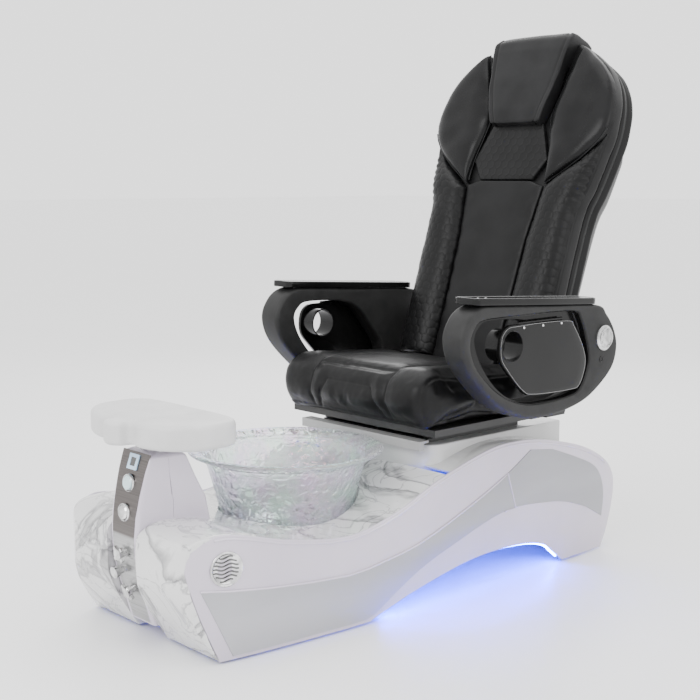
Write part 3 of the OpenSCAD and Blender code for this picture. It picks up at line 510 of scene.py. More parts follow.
def soft_light(name, place, power, size):
    light = bpy.data.lights.new(name, "AREA")
    light.energy = power
    light.shape = "RECTANGLE"
    light.size, light.size_y = size
    lamp = bpy.data.objects.new(name, light)
    lamp.location = place
    lamp.rotation_euler = (LIT_PLACE - Vector(place)).to_track_quat("-Z", "Y").to_euler()
    bpy.context.scene.collection.objects.link(lamp)


soft_light("key", (0.4, -3.6, 2.6), 75, (2.4, 1.6))
soft_light("side", (3.8, 0.6, 1.9), 34, (2.2, 2.0))
soft_light("top", (0, 0.2, 4.0), 60, (3.0, 3.0))
soft_light("rear", (-2.4, 2.6, 2.2), 40, (2.0, 2.0))
world = bpy.data.worlds.new("studio")
world.use_nodes = True
world.node_tree.nodes["Background"].inputs[0].default_value = (1.0, 1.0, 1.0, 1)
world.node_tree.nodes["Background"].inputs[1].default_value = STUDIO_STRENGTH
bpy.context.scene.world = world
print("the floor reaches", FLOOR_REACH, "m each way, under", len(bpy.data.lights), "soft lights")

# %% [markdown]
# # The base
# The base is a boat-shaped tub of moulded panels. Its side panels are flat from top to bottom and bend only
# along the chair, so each is an outline that is made thick, cut every few millimetres so that it can bend,
# and then pushed out to the base's half width.
# %% Outlines of the base
TOP = smooth([(-650, 5), (-693, 110), (-721, 215), (-708, 263), (-660, 289), (-591, 283), (-463, 250),
              (-297, 229), (-158, 256), (-2, 316), (164, 361), (270, 371), (391, 361), (560, 321),
              (677, 268), (728, 214), (733, 150), (708, 65), (676, 5)], 8)
ARCH = smooth([(495, 5), (453, 37), (413, 65), (335, 83), (215, 90), (85, 81), (-80, 50), (-157, 29),
               (-235, 5)], 8)
crest = [p for p in TOP if p[1] > 210 and p[0] > -665]


def crest_z(y):
    return read([(p[0], p[1]) for p in crest], y)


print("the base's crest is", round(crest_z(270)), "mm high at the seat")

# %% Side panels
BEND_STEP = 12


def bent_panel(outline, thickness, proud, rounding):
    """A panel on the base's side, from its outline in (y, z)."""
    cuts = range(-720, 760, BEND_STEP)
    bm = slab([(y, z) for y, z in outline], thickness, rounding, cuts=cuts)
    move_all(bm, lambda y, z, depth: at(read(half_width, y) + proud - depth, y, z))
    bmesh.ops.recalc_face_normals(bm, faces=bm.faces)
    return bm


side_outline = TOP + [(495, 5)] + ARCH[1:]
both_sides("side_panel", lambda: bent_panel(side_outline, 7, 0, 2.5), finishes["pearl_shell"], "base",
           ["side_shell_{side}"])

# %% [markdown]
# A silver wave is let into each side panel. It stands a little proud and has a rounded edge. A bright bead
# runs along its upper front edge, and another follows the panel's own top, where the deck meets it.
# %% Silver waves and beads
wave = smooth([(-693, 172), (-520, 150), (-304, 135), (-196, 146), (-80, 166), (39, 204), (167, 252),
               (253, 290), (346, 340)], 6)
wave += smooth([(441, 327), (540, 292), (624, 256), (664, 217), (681, 162), (674, 98)], 6)
wave += smooth([(597, 139), (495, 172), (398, 186), (301, 193), (212, 185), (84, 151), (-79, 98),
                (-220, 22)], 6) + [np.array(p) for p in ((-250, 14), (-620, 14))]
both_sides("silver_wave", lambda: bent_panel(wave, 2.6, 2.2, 1.1), finishes["silver_inlay"], "base",
           ["side_inlay_{side}"])


def bead(path, radius, sides=10):
    """A round bead along a path of points in metres, closed at both ends."""
    path = [Vector(p) for p in path]
    bm = bmesh.new()
    rings = []
    for i, p in enumerate(path):
        along = (path[min(i + 1, len(path) - 1)] - path[max(i - 1, 0)]).normalized()
        turn = along.to_track_quat("Z", "Y").to_matrix().to_4x4()
        ring = bmesh.ops.create_circle(bm, segments=sides, radius=radius * MM,
                                       matrix=Matrix.Translation(p) @ turn)["verts"]
        rings.append(ring)
    for a, b in zip(rings, rings[1:]):
        edges = [e for e in bm.edges if all(v in a for v in e.verts) or all(v in b for v in e.verts)]
        bmesh.ops.bridge_loops(bm, edges=edges)
    return close_ends(bm)


def side_bead(points, proud, radius):
    return bead([at(read(half_width, y) + proud, y, z) for y, z in points[::3]], radius, 8)


both_sides("wave_lip", lambda: side_bead([p for p in wave if p[0] < 300][:50], 1.6, 2.6),
           finishes["pearl_shell"], "base")
both_sides("top_bead", lambda: side_bead([(p[0], p[1] - 9) for p in crest if p[0] < 690], -0.5, 3.2),
           finishes["pearl_shell"], "base")

# %% [markdown]
# Blue light shines from under the arch of each side panel. A thin glowing tube follows the arch's edge, just
# inside the panel.
# %% Light under the arch
arch_glow = finish("arch glow", ((0.02, 0.05, 0.6), (0.03, 0.08, 0.7)), 0.4,
                   Emission_Color=(0.0, 0.035, 1.0, 1), Emission_Strength=300.0)
arch_light = [p for p in ARCH if -200 < p[0] < 480]
both_sides("arch_light", lambda: bead([at(read(half_width, y) - 11, y, z - 1) for y, z in arch_light], 3, 8),
           arch_glow, "base")

# %% [markdown]
# A chrome grille is let into each side near the front. It is a shallow dish with a rolled rim, crossed by
# seven wavy slots. The slots are black bars that lie in the dish, painted shade standing for the dark
# openings.
# %% Side grilles
GRILLE = Vector((261.5, -633, 214))
grille_turn = radians(-11.5)


def on_grille(a, b, out):
    x = GRILLE.x + out * cos(grille_turn) - a * sin(grille_turn)
    return at(x, GRILLE.y + out * sin(grille_turn) + a * cos(grille_turn), GRILLE.z + b)


def grille_dish():
    dish = [(0, -2.5), (20, -2.0), (31, -0.5), (34, 1.6), (36, 3.0), (38, 3.2), (39.5, 1.8),
            (39.5, -3), (0, -3)]
    bm = spun(smooth(dish[:-2], 3) + dish[-2:], 72)
    move_all(bm, on_grille)
    bmesh.ops.recalc_face_normals(bm, faces=bm.faces)
    return bm


# The slot bars are painted shade: black in place of the dark space seen through the openings.
def grille_slot_shade():
    bars = []
    for k in range(-3, 4):
        half = math.sqrt(30**2 - (8.6 * k) ** 2)
        line = [on_grille(a, 8.6 * k + 2.2 * sin(a / 6.0), -1.0) for a in np.linspace(-half, half, 26)]
        bars.append(bead(line, 2.0, 8))
    return join(*bars)


both_sides("grille_dish", grille_dish, finishes["polished_chrome"], "base")
both_sides("grille_slot_shade", grille_slot_shade, finishes["screen_black"], "base")
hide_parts("side_grilles")

# %% [markdown]
# The deck and the two front lobes are one marbled skin on the real tub. The deck is a ring of quads between
# the bowl's hole and the side panels, so its corners are found by walking out from the bowl's middle.
# %% Marbled deck
BOWL_Y = -246
WELL_FLOOR, WELL_RADIUS, WELL_STEEPNESS = 186, 158, 3.3
DECK_FRONT, DECK_REAR = -559, 25
SKIN_GAP = 1.2


def lesser(a, b, blend=14.0):
    """The smaller of two numbers, rounded off where they are nearly equal."""
    gap = max(blend - abs(a - b), 0) / blend
    return min(a, b) - gap * gap * blend / 4


def deck_place(u, v):
    angle = 2 * pi * u
    c, s = cos(angle), sin(angle)
    far = (DECK_REAR - BOWL_Y) / s if s > 1e-6 else (DECK_FRONT - BOWL_Y) / s if s < -1e-6 else 1e9
    reach = min(far, 330)
    for _ in range(12):
        reach = min(far, (read(half_width, BOWL_Y + reach * s) - SKIN_GAP) / max(abs(c), 1e-6))
    r = read([(0, 0), (0.1, WELL_RADIUS - 2), (0.6, 208), (1, reach)], v)
    x, y = r * c, BOWL_Y + r * s
    well = WELL_FLOOR + max(r - WELL_RADIUS, 0) * WELL_STEEPNESS
    edge = read(half_width, y) - abs(x)
    return at(x, y, lesser(well, crest_z(y) - 1 - 2.5 * (1 - ease(edge / 10)), 5))


bm = skin(240, 60, deck_place, outward=(0, 0, 1), weld=True)
bmesh.ops.solidify(bm, geom=bm.faces, thickness=5 * MM)
finished("marbled_deck", bm, finishes["marble_skin"], "base", ["deck"])

# %% Marbled front lobes
LOBE_INNER = 58
LOBE_BACK = -560
lobe_profile = smooth([(-652, 8), (-703, 88), (-736, 165), (-744, 213), (-735, 251), (-711, 276),
                       (-669, 289), (-595, 286), (-555, 277)], 10)
lobe_plan = [(0, 185), (110, 181), (180, 177), (205, 172), (220, 166)]
lobe_plan += [(x, LOBE_BACK - y) for y, x in half_width if y <= LOBE_BACK]
panel_front = [(5, -650), (110, -693), (163, -710), (215, -721), (240, -717), (263, -708), (280, -684),
               (289, -660)]


def lobe_place(u, v):
    y, z = lobe_profile[min(round(v * (len(lobe_profile) - 1)), len(lobe_profile) - 1)]
    side = read(half_width, max(y, read(panel_front, z))) - 0.8
    wall = min(u / 0.08, 1.0)
    u = max(u - 0.08, 0) / 0.92
    x = LOBE_INNER + (side - LOBE_INNER) * (1 - (1 - u) ** 1.6)
    if y >= LOBE_BACK:
        return at(x, y, z)
    turn_in = 10 * (1 - ease((x - LOBE_INNER) / 14))
    forward = lesser(LOBE_BACK - y, read(lobe_plan, x) - turn_in, 6) * wall
    drop = 3 * (1 - ease((side - x) / 12)) * ease((z - 240) / 40)
    return at(x, LOBE_BACK - forward, z - drop)


def lobe():
    bm = skin(60, len(lobe_profile) - 1, lobe_place, outward=(0.1, -1, 0.2))
    bmesh.ops.solidify(bm, geom=bm.faces, thickness=5 * MM)
    return bm


both_sides("front_lobe", lobe, finishes["marble_skin"], "base")
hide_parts("front_fascia")

# %% [markdown]
# The tail closes the base under the seat. It follows the top edge from the deck to the floor behind, so it is
# one grid laid along that curve.
# %% Tail
tail_path = [p for p in TOP if p[0] >= 26 and not (p[0] < 600 and p[1] < 200)]
tail_path = tail_path[: [i for i, p in enumerate(tail_path) if p[1] > 60][-1] + 1]


def tail_place(u, v):
    k = v * (len(tail_path) - 1)
    i = min(int(k), len(tail_path) - 2)
    y, z = tail_path[i] + (tail_path[i + 1] - tail_path[i]) * (k - i)
    half = read(half_width, y) - SKIN_GAP
    x = half * (2 * u - 1)
    return at(x, y - (0.8 if z < 200 else 0), z - 1 - 3 * (1 - ease((half - abs(x)) / 10)))


bm = skin(48, 120, tail_place, outward=(0, 0.5, 1))
bmesh.ops.solidify(bm, geom=bm.faces, thickness=5 * MM)
finished("tail_skin", bm, finishes["white_gloss"], "base", ["tail_cover"])

# %% [markdown]
# # The pillar, footrest and bowl
# The pillar flares from a narrow face to the base. At each height its section is a rounded trapezoid, so the
# grid runs round the section one way and up the pillar the other, and closes over the top.
# %% Pillar
pillar_face = [(40, -681), (113, -703), (160, -717), (206, -725), (253, -727), (300, -723), (350, -713),
               (400, -700), (436, -687)]
pillar_rear = [(40, -545), (268, -545), (330, -554), (380, -576), (436, -600)]
face_half = [(40, 52), (253, 57), (436, 58)]
rear_half = [(40, 96), (268, 96), (330, 90), (380, 80), (436, 74)]
PILLAR_TOP = 444
DOME = 14
SQUARE = 0.14


def pillar_place(u, v):
    z = 40 + (PILLAR_TOP - 40) * min(v / 0.86, 1.0)
    shrink = 1.0
    if v > 0.86:
        turn = (v - 0.86) / 0.14 * pi / 2
        z = PILLAR_TOP - DOME * (1 - sin(turn))
        shrink = cos(turn)
    z_in = min(z, 436)
    if v <= 0.86:
        z = min(z, PILLAR_TOP - DOME)
    front, rear = read(pillar_face, z_in), read(pillar_rear, z_in)
    wf, wr = read(face_half, z_in), read(rear_half, z_in)
    angle = 2 * pi * u
    sx = math.copysign(abs(cos(angle)) ** SQUARE, cos(angle))
    sy = math.copysign(abs(sin(angle)) ** SQUARE, sin(angle))
    depth = (sy + 1) / 2
    half = wf + (wr - wf) * depth**1.5
    inset = (DOME + 16) * (1 - shrink)
    x = sx * max(half - inset, half * shrink)
    y = front + (rear - front) * depth
    y += (inset if depth < 0.5 else -inset) * abs(2 * depth - 1)
    return at(x, y, z)


bm = skin(96, 110, pillar_place, weld=True)
close_ends(bm)
finished("front_pillar", bm, finishes["pearl_shell"], "base", ["pillar"])

# %% [markdown]
# A chrome ring sits round each of the two buttons. Each ring is a small profile spun about the button's axis,
# placed by the button's own box.
# %% Button rings


def ring_round(node, inner, outer, height):
    low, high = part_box(node)
    section = [(inner, 0), (outer, 0), (outer, height * 0.4), (outer - 1.2, height * 0.9),
               ((inner + outer) / 2, height), (inner + 0.5, height * 0.8), (inner, 0)]
    bm = spun([(r * MM, h * MM) for r, h in section], 48)
    bmesh.ops.rotate(bm, cent=(0, 0, 0), matrix=Matrix.Rotation(pi / 2, 3, "X"), verts=bm.verts)
    middle = (low + high) / 2
    z = middle.z / MM
    y = at(0, read(pillar_face, min(z, 436)), 0).y
    bmesh.ops.translate(bm, vec=(middle.x, y + 1.5 * MM, middle.z), verts=bm.verts)
    return bm


rings = [ring_round(n, 17.6, 21.5, 7) for n in ("jet_button", "light_button")]
finished("button_rings", join(*rings), finishes["polished_chrome"], "base")

# %% [markdown]
# The foot pad is a thick foam pad with a nose in the middle and a lobe each side. A round edge that keeps its
# size everywhere needs an inset in millimetres, so each ring of the grid is the outline moved inwards by a
# set amount, at a set height.
# %% Pads from an outline


def pad(outline, centre, rings, place, inner_rings=14):
    """A closed pad. rings are (inset, height) round the edge, from the lower face to the upper one."""
    outline = [np.array(p, float) for p in outline]
    centre = np.array(centre, float)
    low = [(k / inner_rings, rings[0][1]) for k in range(inner_rings)]
    high = [(1 - (k + 1) / inner_rings, rings[-1][1]) for k in range(inner_rings)]

    def shape(u, v):
        p = outline[round(u * len(outline)) % len(outline)]
        reach = np.linalg.norm(p - centre)
        k = round(v * (len(low) + len(rings) + len(high) - 1))
        if k < len(low):
            s, h = low[k][0] * (1 - rings[0][0] / reach), low[k][1]
        elif k < len(low) + len(rings):
            inset, h = rings[k - len(low)]
            s = 1 - inset / reach
        else:
            s, h = high[k - len(low) - len(rings)]
            s *= 1 - rings[-1][0] / reach
        q = centre + (p - centre) * s
        return place(q[0], q[1], h)

    count = len(low) + len(rings) + len(high) - 1
    return skin(len(outline), count, shape, weld=True)


def round_edge(low, high, radius, steps=6):
    """Rings for a pad with a round edge between two heights."""
    turn = [k / steps * pi / 2 for k in range(steps + 1)]
    return ([(radius * (1 - sin(a)), low + radius * (1 - cos(a))) for a in turn]
            + [(radius * (1 - cos(a)), high - radius * (1 - sin(a))) for a in turn])


print("a round edge is made of", len(round_edge(0, 50, 10)), "rings")

# %% Foot pad
half_foot = [(0, -767), (28, -753), (40, -727), (90, -733), (157, -709), (199, -663), (207, -607),
             (195, -553), (137, -529), (0, -525)]
foot_ring = half_foot + [(-x, y) for x, y in half_foot[-2:0:-1]]
foot_outline = smooth(foot_ring, 8, closed=True)


def foot_place(x, y, z):
    crease = min(math.hypot(abs(x) - 44, y + 728), 60) / 60
    dip = 5 * (1 - ease(crease)) * ease((z - 480) / 40)
    channel = 1.6 * math.exp(-((abs(x) - 62 - 0.12 * (y + 640)) / 2.5) ** 2) * (z > 515)
    sag = 3 * math.exp(-((abs(x) - 115) / 55) ** 2 - ((y + 625) / 60) ** 2) * (z > 500)
    return at(x, y, z - dip - channel - sag)


bm = pad(foot_outline, (0, -628), round_edge(466, 524, 13, 6), foot_place, inner_rings=30)
foot_pad = finished("foot_pad", bm, finishes["footrest_white"], "footrest",
                    ["footrest_pad"])

# %% [markdown]
# The bowl is thick glass with a rolled rim. Its wall profile is spun round the bowl's axis.
# %% Bowl
wall = [(0, 190), (90, 190), (140, 190), (152, 193), (160, 200), (183, 290), (204, 360), (222, 373),
        (236, 377.5), (243, 380), (246, 384), (243, 388.6), (236, 389), (224, 386), (204, 368), (195, 348),
        (153, 208), (147, 200), (138, 197), (90, 197), (0, 197)]
bm = spun([(r * MM, z * MM) for r, z in smooth(wall, 4)], 160)
bmesh.ops.translate(bm, vec=at(0, BOWL_Y, 0), verts=bm.verts)
finished("glass_bowl", bm, finishes["bowl_glass"], "base", ["bowl"])

# %% [markdown]
# # The seat
# The pedestal is a plain lacquered block with a rounded front.
# %% Pedestal
pedestal_ring = [(-236, 560), (-236, 90)] + [
    (236 * math.copysign(abs(cos(a)) ** 0.6, cos(a)), 90 - 68 * abs(sin(a)) ** 0.6)
    for a in (pi + k * pi / 24 for k in range(1, 24))] + [(236, 90), (236, 560)]
bm = slab(pedestal_ring, 133, 4)
move_all(bm, lambda x, y, z: at(x, y, z + 250))
finished("pedestal_block", bm, finishes["white_gloss"], "base", ["pedestal"])

# %% [markdown]
# Upholstery gets its seams after its form. "Sewing" moves each corner along its normal: panels swell away
# from the seams, and a seam is a narrow groove. It also writes the "crease" value that the leather reads,
# which paints shade into the seam grooves and honeycomb lines.
# %% Sewing


def gap_to(lines, x, y):
    """The distance from a point to the nearest of some polylines."""
    best = 1e9
    for line in lines:
        for (ax, ay), (bx, by) in zip(line, line[1:]):
            dx, dy = bx - ax, by - ay
            t = min(max(((x - ax) * dx + (y - ay) * dy) / (dx * dx + dy * dy), 0), 1)
            best = min(best, math.hypot(x - ax - t * dx, y - ay - t * dy))
    return best


def hexagon_gap(x, y, cell):
    """The distance from a point to the border of a honeycomb with cells this wide."""
    best = 1e9
    row, column = cell * math.sqrt(3), cell
    for ox, oy in ((0, 0), (column / 2, row / 2)):
        px = (x - ox) - column * round((x - ox) / column)
        py = (y - oy) - row * round((y - oy) / row)
        reach = max(abs(px), abs(px) / 2 + abs(py) * math.sqrt(3) / 2)
        best = min(best, reach)
    return cell / 2 - best


def sew(bm, press):
    """Moves each corner along its normal by press(corner) = (mm outward, crease from 0 to 1). The crease is
    painted shade that the leather draws in the grooves.
    """
    bm.normal_update()
    crease = bm.verts.layers.float.new("crease")
    pressed = [press(*v.co) for v in bm.verts]
    normals = [v.normal.copy() for v in bm.verts]
    for v, normal, (push, dark) in zip(bm.verts, normals, pressed):
        v.co += normal * push
        v[crease] = min(max(dark, 0.0), 1.0)


def groove(gap, width):
    return math.exp(-((gap / width) ** 2))


def wrinkle(x, y, z, size):
    """Soft, slow folds that real covers have."""
    return noise.noise(Vector((x, y, z)) / size)


print("a honeycomb cell's middle is", hexagon_gap(0, 0, 26), "mm from its border")

# %% [markdown]
# Foam under a tight cover bulges between its edges. A short cloth simulation gives that form: the block is
# remeshed into even small quads, blown up with a little air pressure and no gravity, and each corner's travel
# is capped, so that the cushion keeps its size. The seams are sewn afterwards.
# %% Swelling
VOXEL, AIR, FRAMES = 5, 4.0, 20


def own_mesh(piece):
    """The mesh of a piece with its modifiers applied."""
    graph = bpy.context.evaluated_depsgraph_get()
    graph.update()
    return bpy.data.meshes.new_from_object(piece.evaluated_get(graph))


def swell(bm, cap, base):
    """A blown-up copy of a closed form in mm. Nothing moves more than cap, or goes below base."""
    mesh = bpy.data.meshes.new("form")
    bmesh.ops.scale(bm, vec=(MM, MM, MM), verts=bm.verts)
    bm.to_mesh(mesh)
    bm.free()
    form = bpy.data.objects.new("form", mesh)
    bpy.context.scene.collection.objects.link(form)
    even_quads = form.modifiers.new("even quads", "REMESH")
    even_quads.mode = "VOXEL"
    even_quads.voxel_size = VOXEL * MM
    form.data = own_mesh(form)
    form.modifiers.clear()
    start = np.array([v.co for v in form.data.vertices])
    cloth = form.modifiers.new("cover", "CLOTH").settings
    cloth.use_pressure = True
    cloth.uniform_pressure_force = AIR
    cloth.effector_weights.gravity = 0
    for frame_number in range(1, FRAMES + 1):
        bpy.context.scene.frame_set(frame_number)
    swollen = own_mesh(form)
    travel = np.array([v.co for v in swollen.vertices]) - start
    travel -= travel.mean(axis=0)
    length = np.linalg.norm(travel, axis=1, keepdims=True)
    places = start + travel * np.minimum(1, cap * MM / np.maximum(length, 1e-9))
    places[:, 2] = np.maximum(places[:, 2], base * MM)
    for v, place in zip(swollen.vertices, places):
        v.co = place
    made = bmesh.new()
    made.from_mesh(swollen)
    for _ in range(2):
        bmesh.ops.smooth_vert(made, verts=made.verts, factor=0.5, use_axis_x=True, use_axis_y=True,
                              use_axis_z=True)
    bmesh.ops.scale(made, vec=(1 / MM, 1 / MM, 1 / MM), verts=made.verts)
    bpy.data.objects.remove(form)
    bpy.context.scene.frame_set(1)
    print("swelling moved corners by up to", round(float(length.max()) / MM, 1), "mm before the cap")
    return made


# %% [markdown]
# The seat cushion is one padded block. A trapezoid is sewn into its front, two seams curve over the top, and
# one more on each side joins the side panel. The block is a pad laid on its side, so its outline is the
# cushion's side view and its rounded edges are the left and right ends.
# %% Seat cushion
seat_loop = smooth([(372, 434), (200, 433), (14, 433), (-20, 440), (-42, 480), (-46, 516), (-32, 552),
                    (10, 571), (100, 567), (200, 560), (300, 552), (360, 545), (376, 520)], 12, closed=True)
SEAT_HALF = 276
across = [(0, h) for h in np.linspace(-238, 238, 118)]
ends = round_edge(-SEAT_HALF, SEAT_HALF, 34, 7)
seat_rings = ends[:8] + across + ends[8:]
front_seams = [[(-135, 425), (-82, 530), (82, 530), (135, 425)]]
top_seams = [[(s * 152, 425), (s * 142, 500), (s * 140, 560), (s * 150, 640), (s * 152, 990)]
             for s in (-1, 1)]


# The second value is painted shade: the leather is darkened along the seam grooves.
def seat_press(x, y, z):
    along = z if y < -12 else 575 + (y + 12)
    if z < 445:
        return 0.0, 0.0
    seams = min(gap_to(front_seams, x, along), gap_to(top_seams, x, along), abs(abs(x) - 262),
                abs(along - 590) if abs(x) < 140 else 99)
    swell = 5 * (1 - groove(seams, 22)) * ease((z - 445) / 30)
    fold = 1.4 * wrinkle(x * 0.6, y, z, 42) + 0.5 * wrinkle(x, y, z, 14)
    return swell + fold - 3.2 * groove(seams, 3.2) - 2, 0.9 * groove(seams, 2.4)


bm = pad(seat_loop, (160, 500), seat_rings, lambda y, z, x: Vector((0.985 * x, y, z)), inner_rings=16)
bm = swell(bm, 7, 432.5)
sew(bm, seat_press)
move_all(bm, at)
seat_cushion = finished("seat_block", bm, finishes["seat_leather"], "seat",
                        ["seat_cushion"], sharp=80)

# %% [markdown]
# # The back
# The back is a thin shell of cushions in front of a band and a moulded rear shell. Each visible cushion is
# its own piece, made as a quilt: a grid between a left edge and a right edge, crowned in both directions,
# with its border sunk into the slab behind.
# %% Quilts


def travelled(points):
    """The points of a line, evenly placed by the distance along it, as a function from 0 to 1."""
    points = np.array(points, float)
    gone = np.concatenate([[0], np.cumsum(np.linalg.norm(np.diff(points, axis=0), axis=1))])
    gone /= gone[-1]
    return lambda t: np.array([np.interp(t, gone, points[:, k]) for k in (0, 1)])


def quilt(left, right, columns, rows, height, sunk=8, crown=4.0, ends=6.0, tip=0.0):
    """A crowned cushion between two edges in (x, up), standing height mm out from the slab."""
    a, b = travelled(left), travelled(right)

    def shape(u, v):
        u, v = (0.45 * (0.5 - 0.5 * cos(pi * t)) + 0.55 * t for t in (u, v))
        p = a(v) * (1 - u) + b(v) * u
        rise = (max(1 - abs(2 * u - 1) ** crown, 0) ** (1 / crown)
                * max(1 - abs(2 * v - 1) ** ends, 0) ** (1 / ends))
        if tip:
            rise *= 0.2 + 0.8 * ease((1 - v) / tip)
        return Vector((p[0], sunk - (sunk + height) * rise, p[1]))

    bm = skin(columns, rows, shape, outward=(0, -1, 0))
    bmesh.ops.remove_doubles(bm, verts=bm.verts, dist=0.01)
    close_ends(bm)
    return bm


def back_piece(name, bm, press, finish_name, nodes=()):
    sew(bm, press)
    move_all(bm, on_back)
    piece = finished(name, bm, finishes[finish_name], "back", nodes, sharp=80)
    return piece


def mirrored(line):
    return [(-x, up) for x, up in line]


# %% Slab behind the cushions
half_back = [(249, -40), (261, 20), (263, 200), (265, 424), (285, 507), (303, 600), (313, 672), (305, 762),
             (269, 838), (203, 896), (143, 930)]
back_line = smooth(half_back, 8)
back_outline = [tuple(p) for p in back_line] + [(-p[0], p[1]) for p in back_line[::-1]]
back_half = sorted([(p[1], p[0]) for p in back_line])


def even(outline, step):
    """A closed outline with its points evenly placed."""
    line = travelled(list(outline) + [outline[0]])
    loop = np.array(list(outline) + [outline[0]], float)
    count = round(np.linalg.norm(np.diff(loop, axis=0), axis=1).sum() / step)
    return [line(k / count) for k in range(count)]


EDGE_STEP = 8
BACK_MIDDLE = (0, 440)


def back_pad(outline, low, high, radius):
    return pad(even(outline, EDGE_STEP), BACK_MIDDLE, round_edge(low, high, radius),
               lambda x, up, out: Vector((x, out, up)), inner_rings=12)


def edge_press(x, out, up):
    return 0.8 * wrinkle(x, out * 3, up, 40), 0.0


back_piece("back_slab", back_pad(back_outline, 0, 53, 15), edge_press, "back_leather", ["back_cushion"])

# %% [markdown]
# The long panel down the middle is plain. The folds near its edges come from how the cover is pulled in at
# the seams.
# %% Centre panel
centre_right = [(118, -34), (120, 170), (125, 340), (143, 498), (99, 513)]


# The second value is painted shade along the seams at the panel's sides.
def plain_press(x, out, up):
    pull = 0.8 * sin(up / 9 + 2 * wrinkle(x, up, 0, 60)) * groove(abs(abs(x) - 118), 14)
    return 1.2 * wrinkle(x, up, 0, 70) + pull, 0.25 * groove(abs(abs(x) - 121), 5)


back_piece("centre_panel", quilt(mirrored(centre_right), centre_right, 90, 200, 17, crown=9, ends=30),
           plain_press, "back_leather")

# %% Panel with a honeycomb
HEX_CELL = 26
hex_right = [(98, 516), (137, 576), (92, 686)]


# The line value is painted shade: it darkens the leather in the honeycomb grooves.
def honeycomb(x, up, depth, strength):
    gap = hexagon_gap(x, up, HEX_CELL)
    line = groove(gap, 1.7)
    return -depth * line + 0.5 * strength * (1 - groove(gap, 7)), line


def hex_press(x, out, up):
    return honeycomb(x, up, 0.7, 0.3)


back_piece("upper_panel", quilt(mirrored(hex_right), hex_right, 130, 90, 18, crown=9, ends=12), hex_press,
           "back_leather")

# %% [markdown]
# The bolsters down the sides bulge the most. Their honeycomb is deeper along the inner and outer edges, and
# small gathers run in from the outer edge under the wing.
# %% Bolsters
bolster_inner = [(123, -20), (124, 170), (129, 340), (147, 494), (243, 574), (312, 652)]
bolster_outer = [(255, -20), (258, 220), (261, 424), (281, 507), (300, 600), (312, 652)]


# dark carries the honeycomb's painted shade in its grooves.
def bolster_press(x, out, up):
    side = abs(x)
    inner, outer = gap_to([bolster_inner], side, up), gap_to([bolster_outer], side, up)
    push, dark = honeycomb(side, up, 0.7, 0.2 + 1.0 * groove(min(inner, outer), 26))
    gathers = 1.6 * sin(up / 3.4) * groove(outer, 16) * ease((up - 420) / 60) * ease((600 - up) / 30)
    return push + gathers + 1.5 * wrinkle(x, up, 0, 60), dark * ease((620 - up) / 20)


for side, sign in (("left", 1), ("right", -1)):
    edges = [[(sign * x, up) for x, up in line] for line in (bolster_inner, bolster_outer)]
    bm = quilt(*edges, 72, 300, 42, sunk=10, crown=2.4, ends=14, tip=0.28)
    back_piece(f"bolster_{side}", bm, bolster_press, "back_leather")

# %% [markdown]
# The wings beside the headrest are plain and glossier, with a light piping along their inner and lower edges.
# %% Wings and piping
wing_inner = smooth([(145, 506), (140, 576), (115, 687), (116, 730), (146, 830), (176, 912)], 4)
wing_outer = smooth([(145, 506), (250, 582), (315, 664), (309, 762), (269, 835), (203, 894), (176, 912)], 4)


def wing_press(x, out, up):
    edge = min(gap_to([wing_inner], abs(x), up), gap_to([wing_outer], abs(x), up))
    return 1.6 * wrinkle(x, up, 3, 50) + 2 * (1 - groove(edge, 24)), 0.0


def piping(line, out, radius):
    return lambda: bead([on_back(x, out, up) for x, up in line], radius, 8)


for side, sign in (("left", 1), ("right", -1)):
    edges = [[(sign * x, up) for x, up in line] for line in (wing_inner, wing_outer)]
    bm = quilt(*edges, 80, 110, 30, crown=4, ends=5)
    back_piece(f"wing_{side}", bm, wing_press, "wing_leather", [f"shoulder_wing_{side}"])
both_sides("wing_piping", piping(wing_inner[1:], -9, 2.2), finishes["headrest_leather"], "back")
both_sides("lower_piping", piping(wing_outer[:9], -12, 2.2), finishes["headrest_leather"], "back")

# %% [markdown]
# The headrest is a flap that folds over the top of the back. Its outline is its side view, and its width
# grows towards the top, so each ring across is widened to suit its height.
# %% Headrest
flap_loop = even([(-38, 684), (-18, 680), (-2, 684), (-2, 800), (-2, 935), (66, 938), (69, 944), (48, 953),
                  (0, 956), (-24, 951), (-38, 934), (-43, 900), (-45, 800), (-44, 720)], 7)
flap_half = [(680, 89), (780, 118), (930, 141), (956, 135)]
FLAP_WIDEST = 141
flap_ends = round_edge(-FLAP_WIDEST, FLAP_WIDEST, 10, 4)
flap_rings = flap_ends[:5] + [(0, h) for h in np.linspace(-124, 124, 56)] + flap_ends[5:]


def flap_place(out, up, h):
    return Vector((h * read(flap_half, up) / FLAP_WIDEST, out, up))


# The second value is painted shade in the seam groove.
def flap_press(x, out, up):
    seam = abs(abs(x) - (read(flap_half, up) - 16))
    fold = 1.2 * wrinkle(x, up, out, 60)
    return fold - 2.2 * groove(seam, 2.6) + 1.2 * (1 - groove(seam, 18)), 0.85 * groove(seam, 2.0)


back_piece("headrest_flap", pad(flap_loop, (-22, 830), flap_rings, flap_place), flap_press,
           "headrest_leather", ["headrest"])

# %% [markdown]
# Behind the cushions a padded band wraps the sides, with a seam round its middle. The rear is a moulded
# shell with shallow ribs.
# %% Band and rear shell
band_outline = [(x * 0.985, 440 + (up - 440) * 0.985) for x, up in back_outline]


# The second value is painted shade in the seam groove round the band.
def band_press(x, out, up):
    seam = abs(out - 78)
    return 3.5 * (1 - groove(seam, 15)) - 2.5 * groove(seam, 2.5) + wrinkle(x, out, up, 50), \
        0.8 * groove(seam, 2)


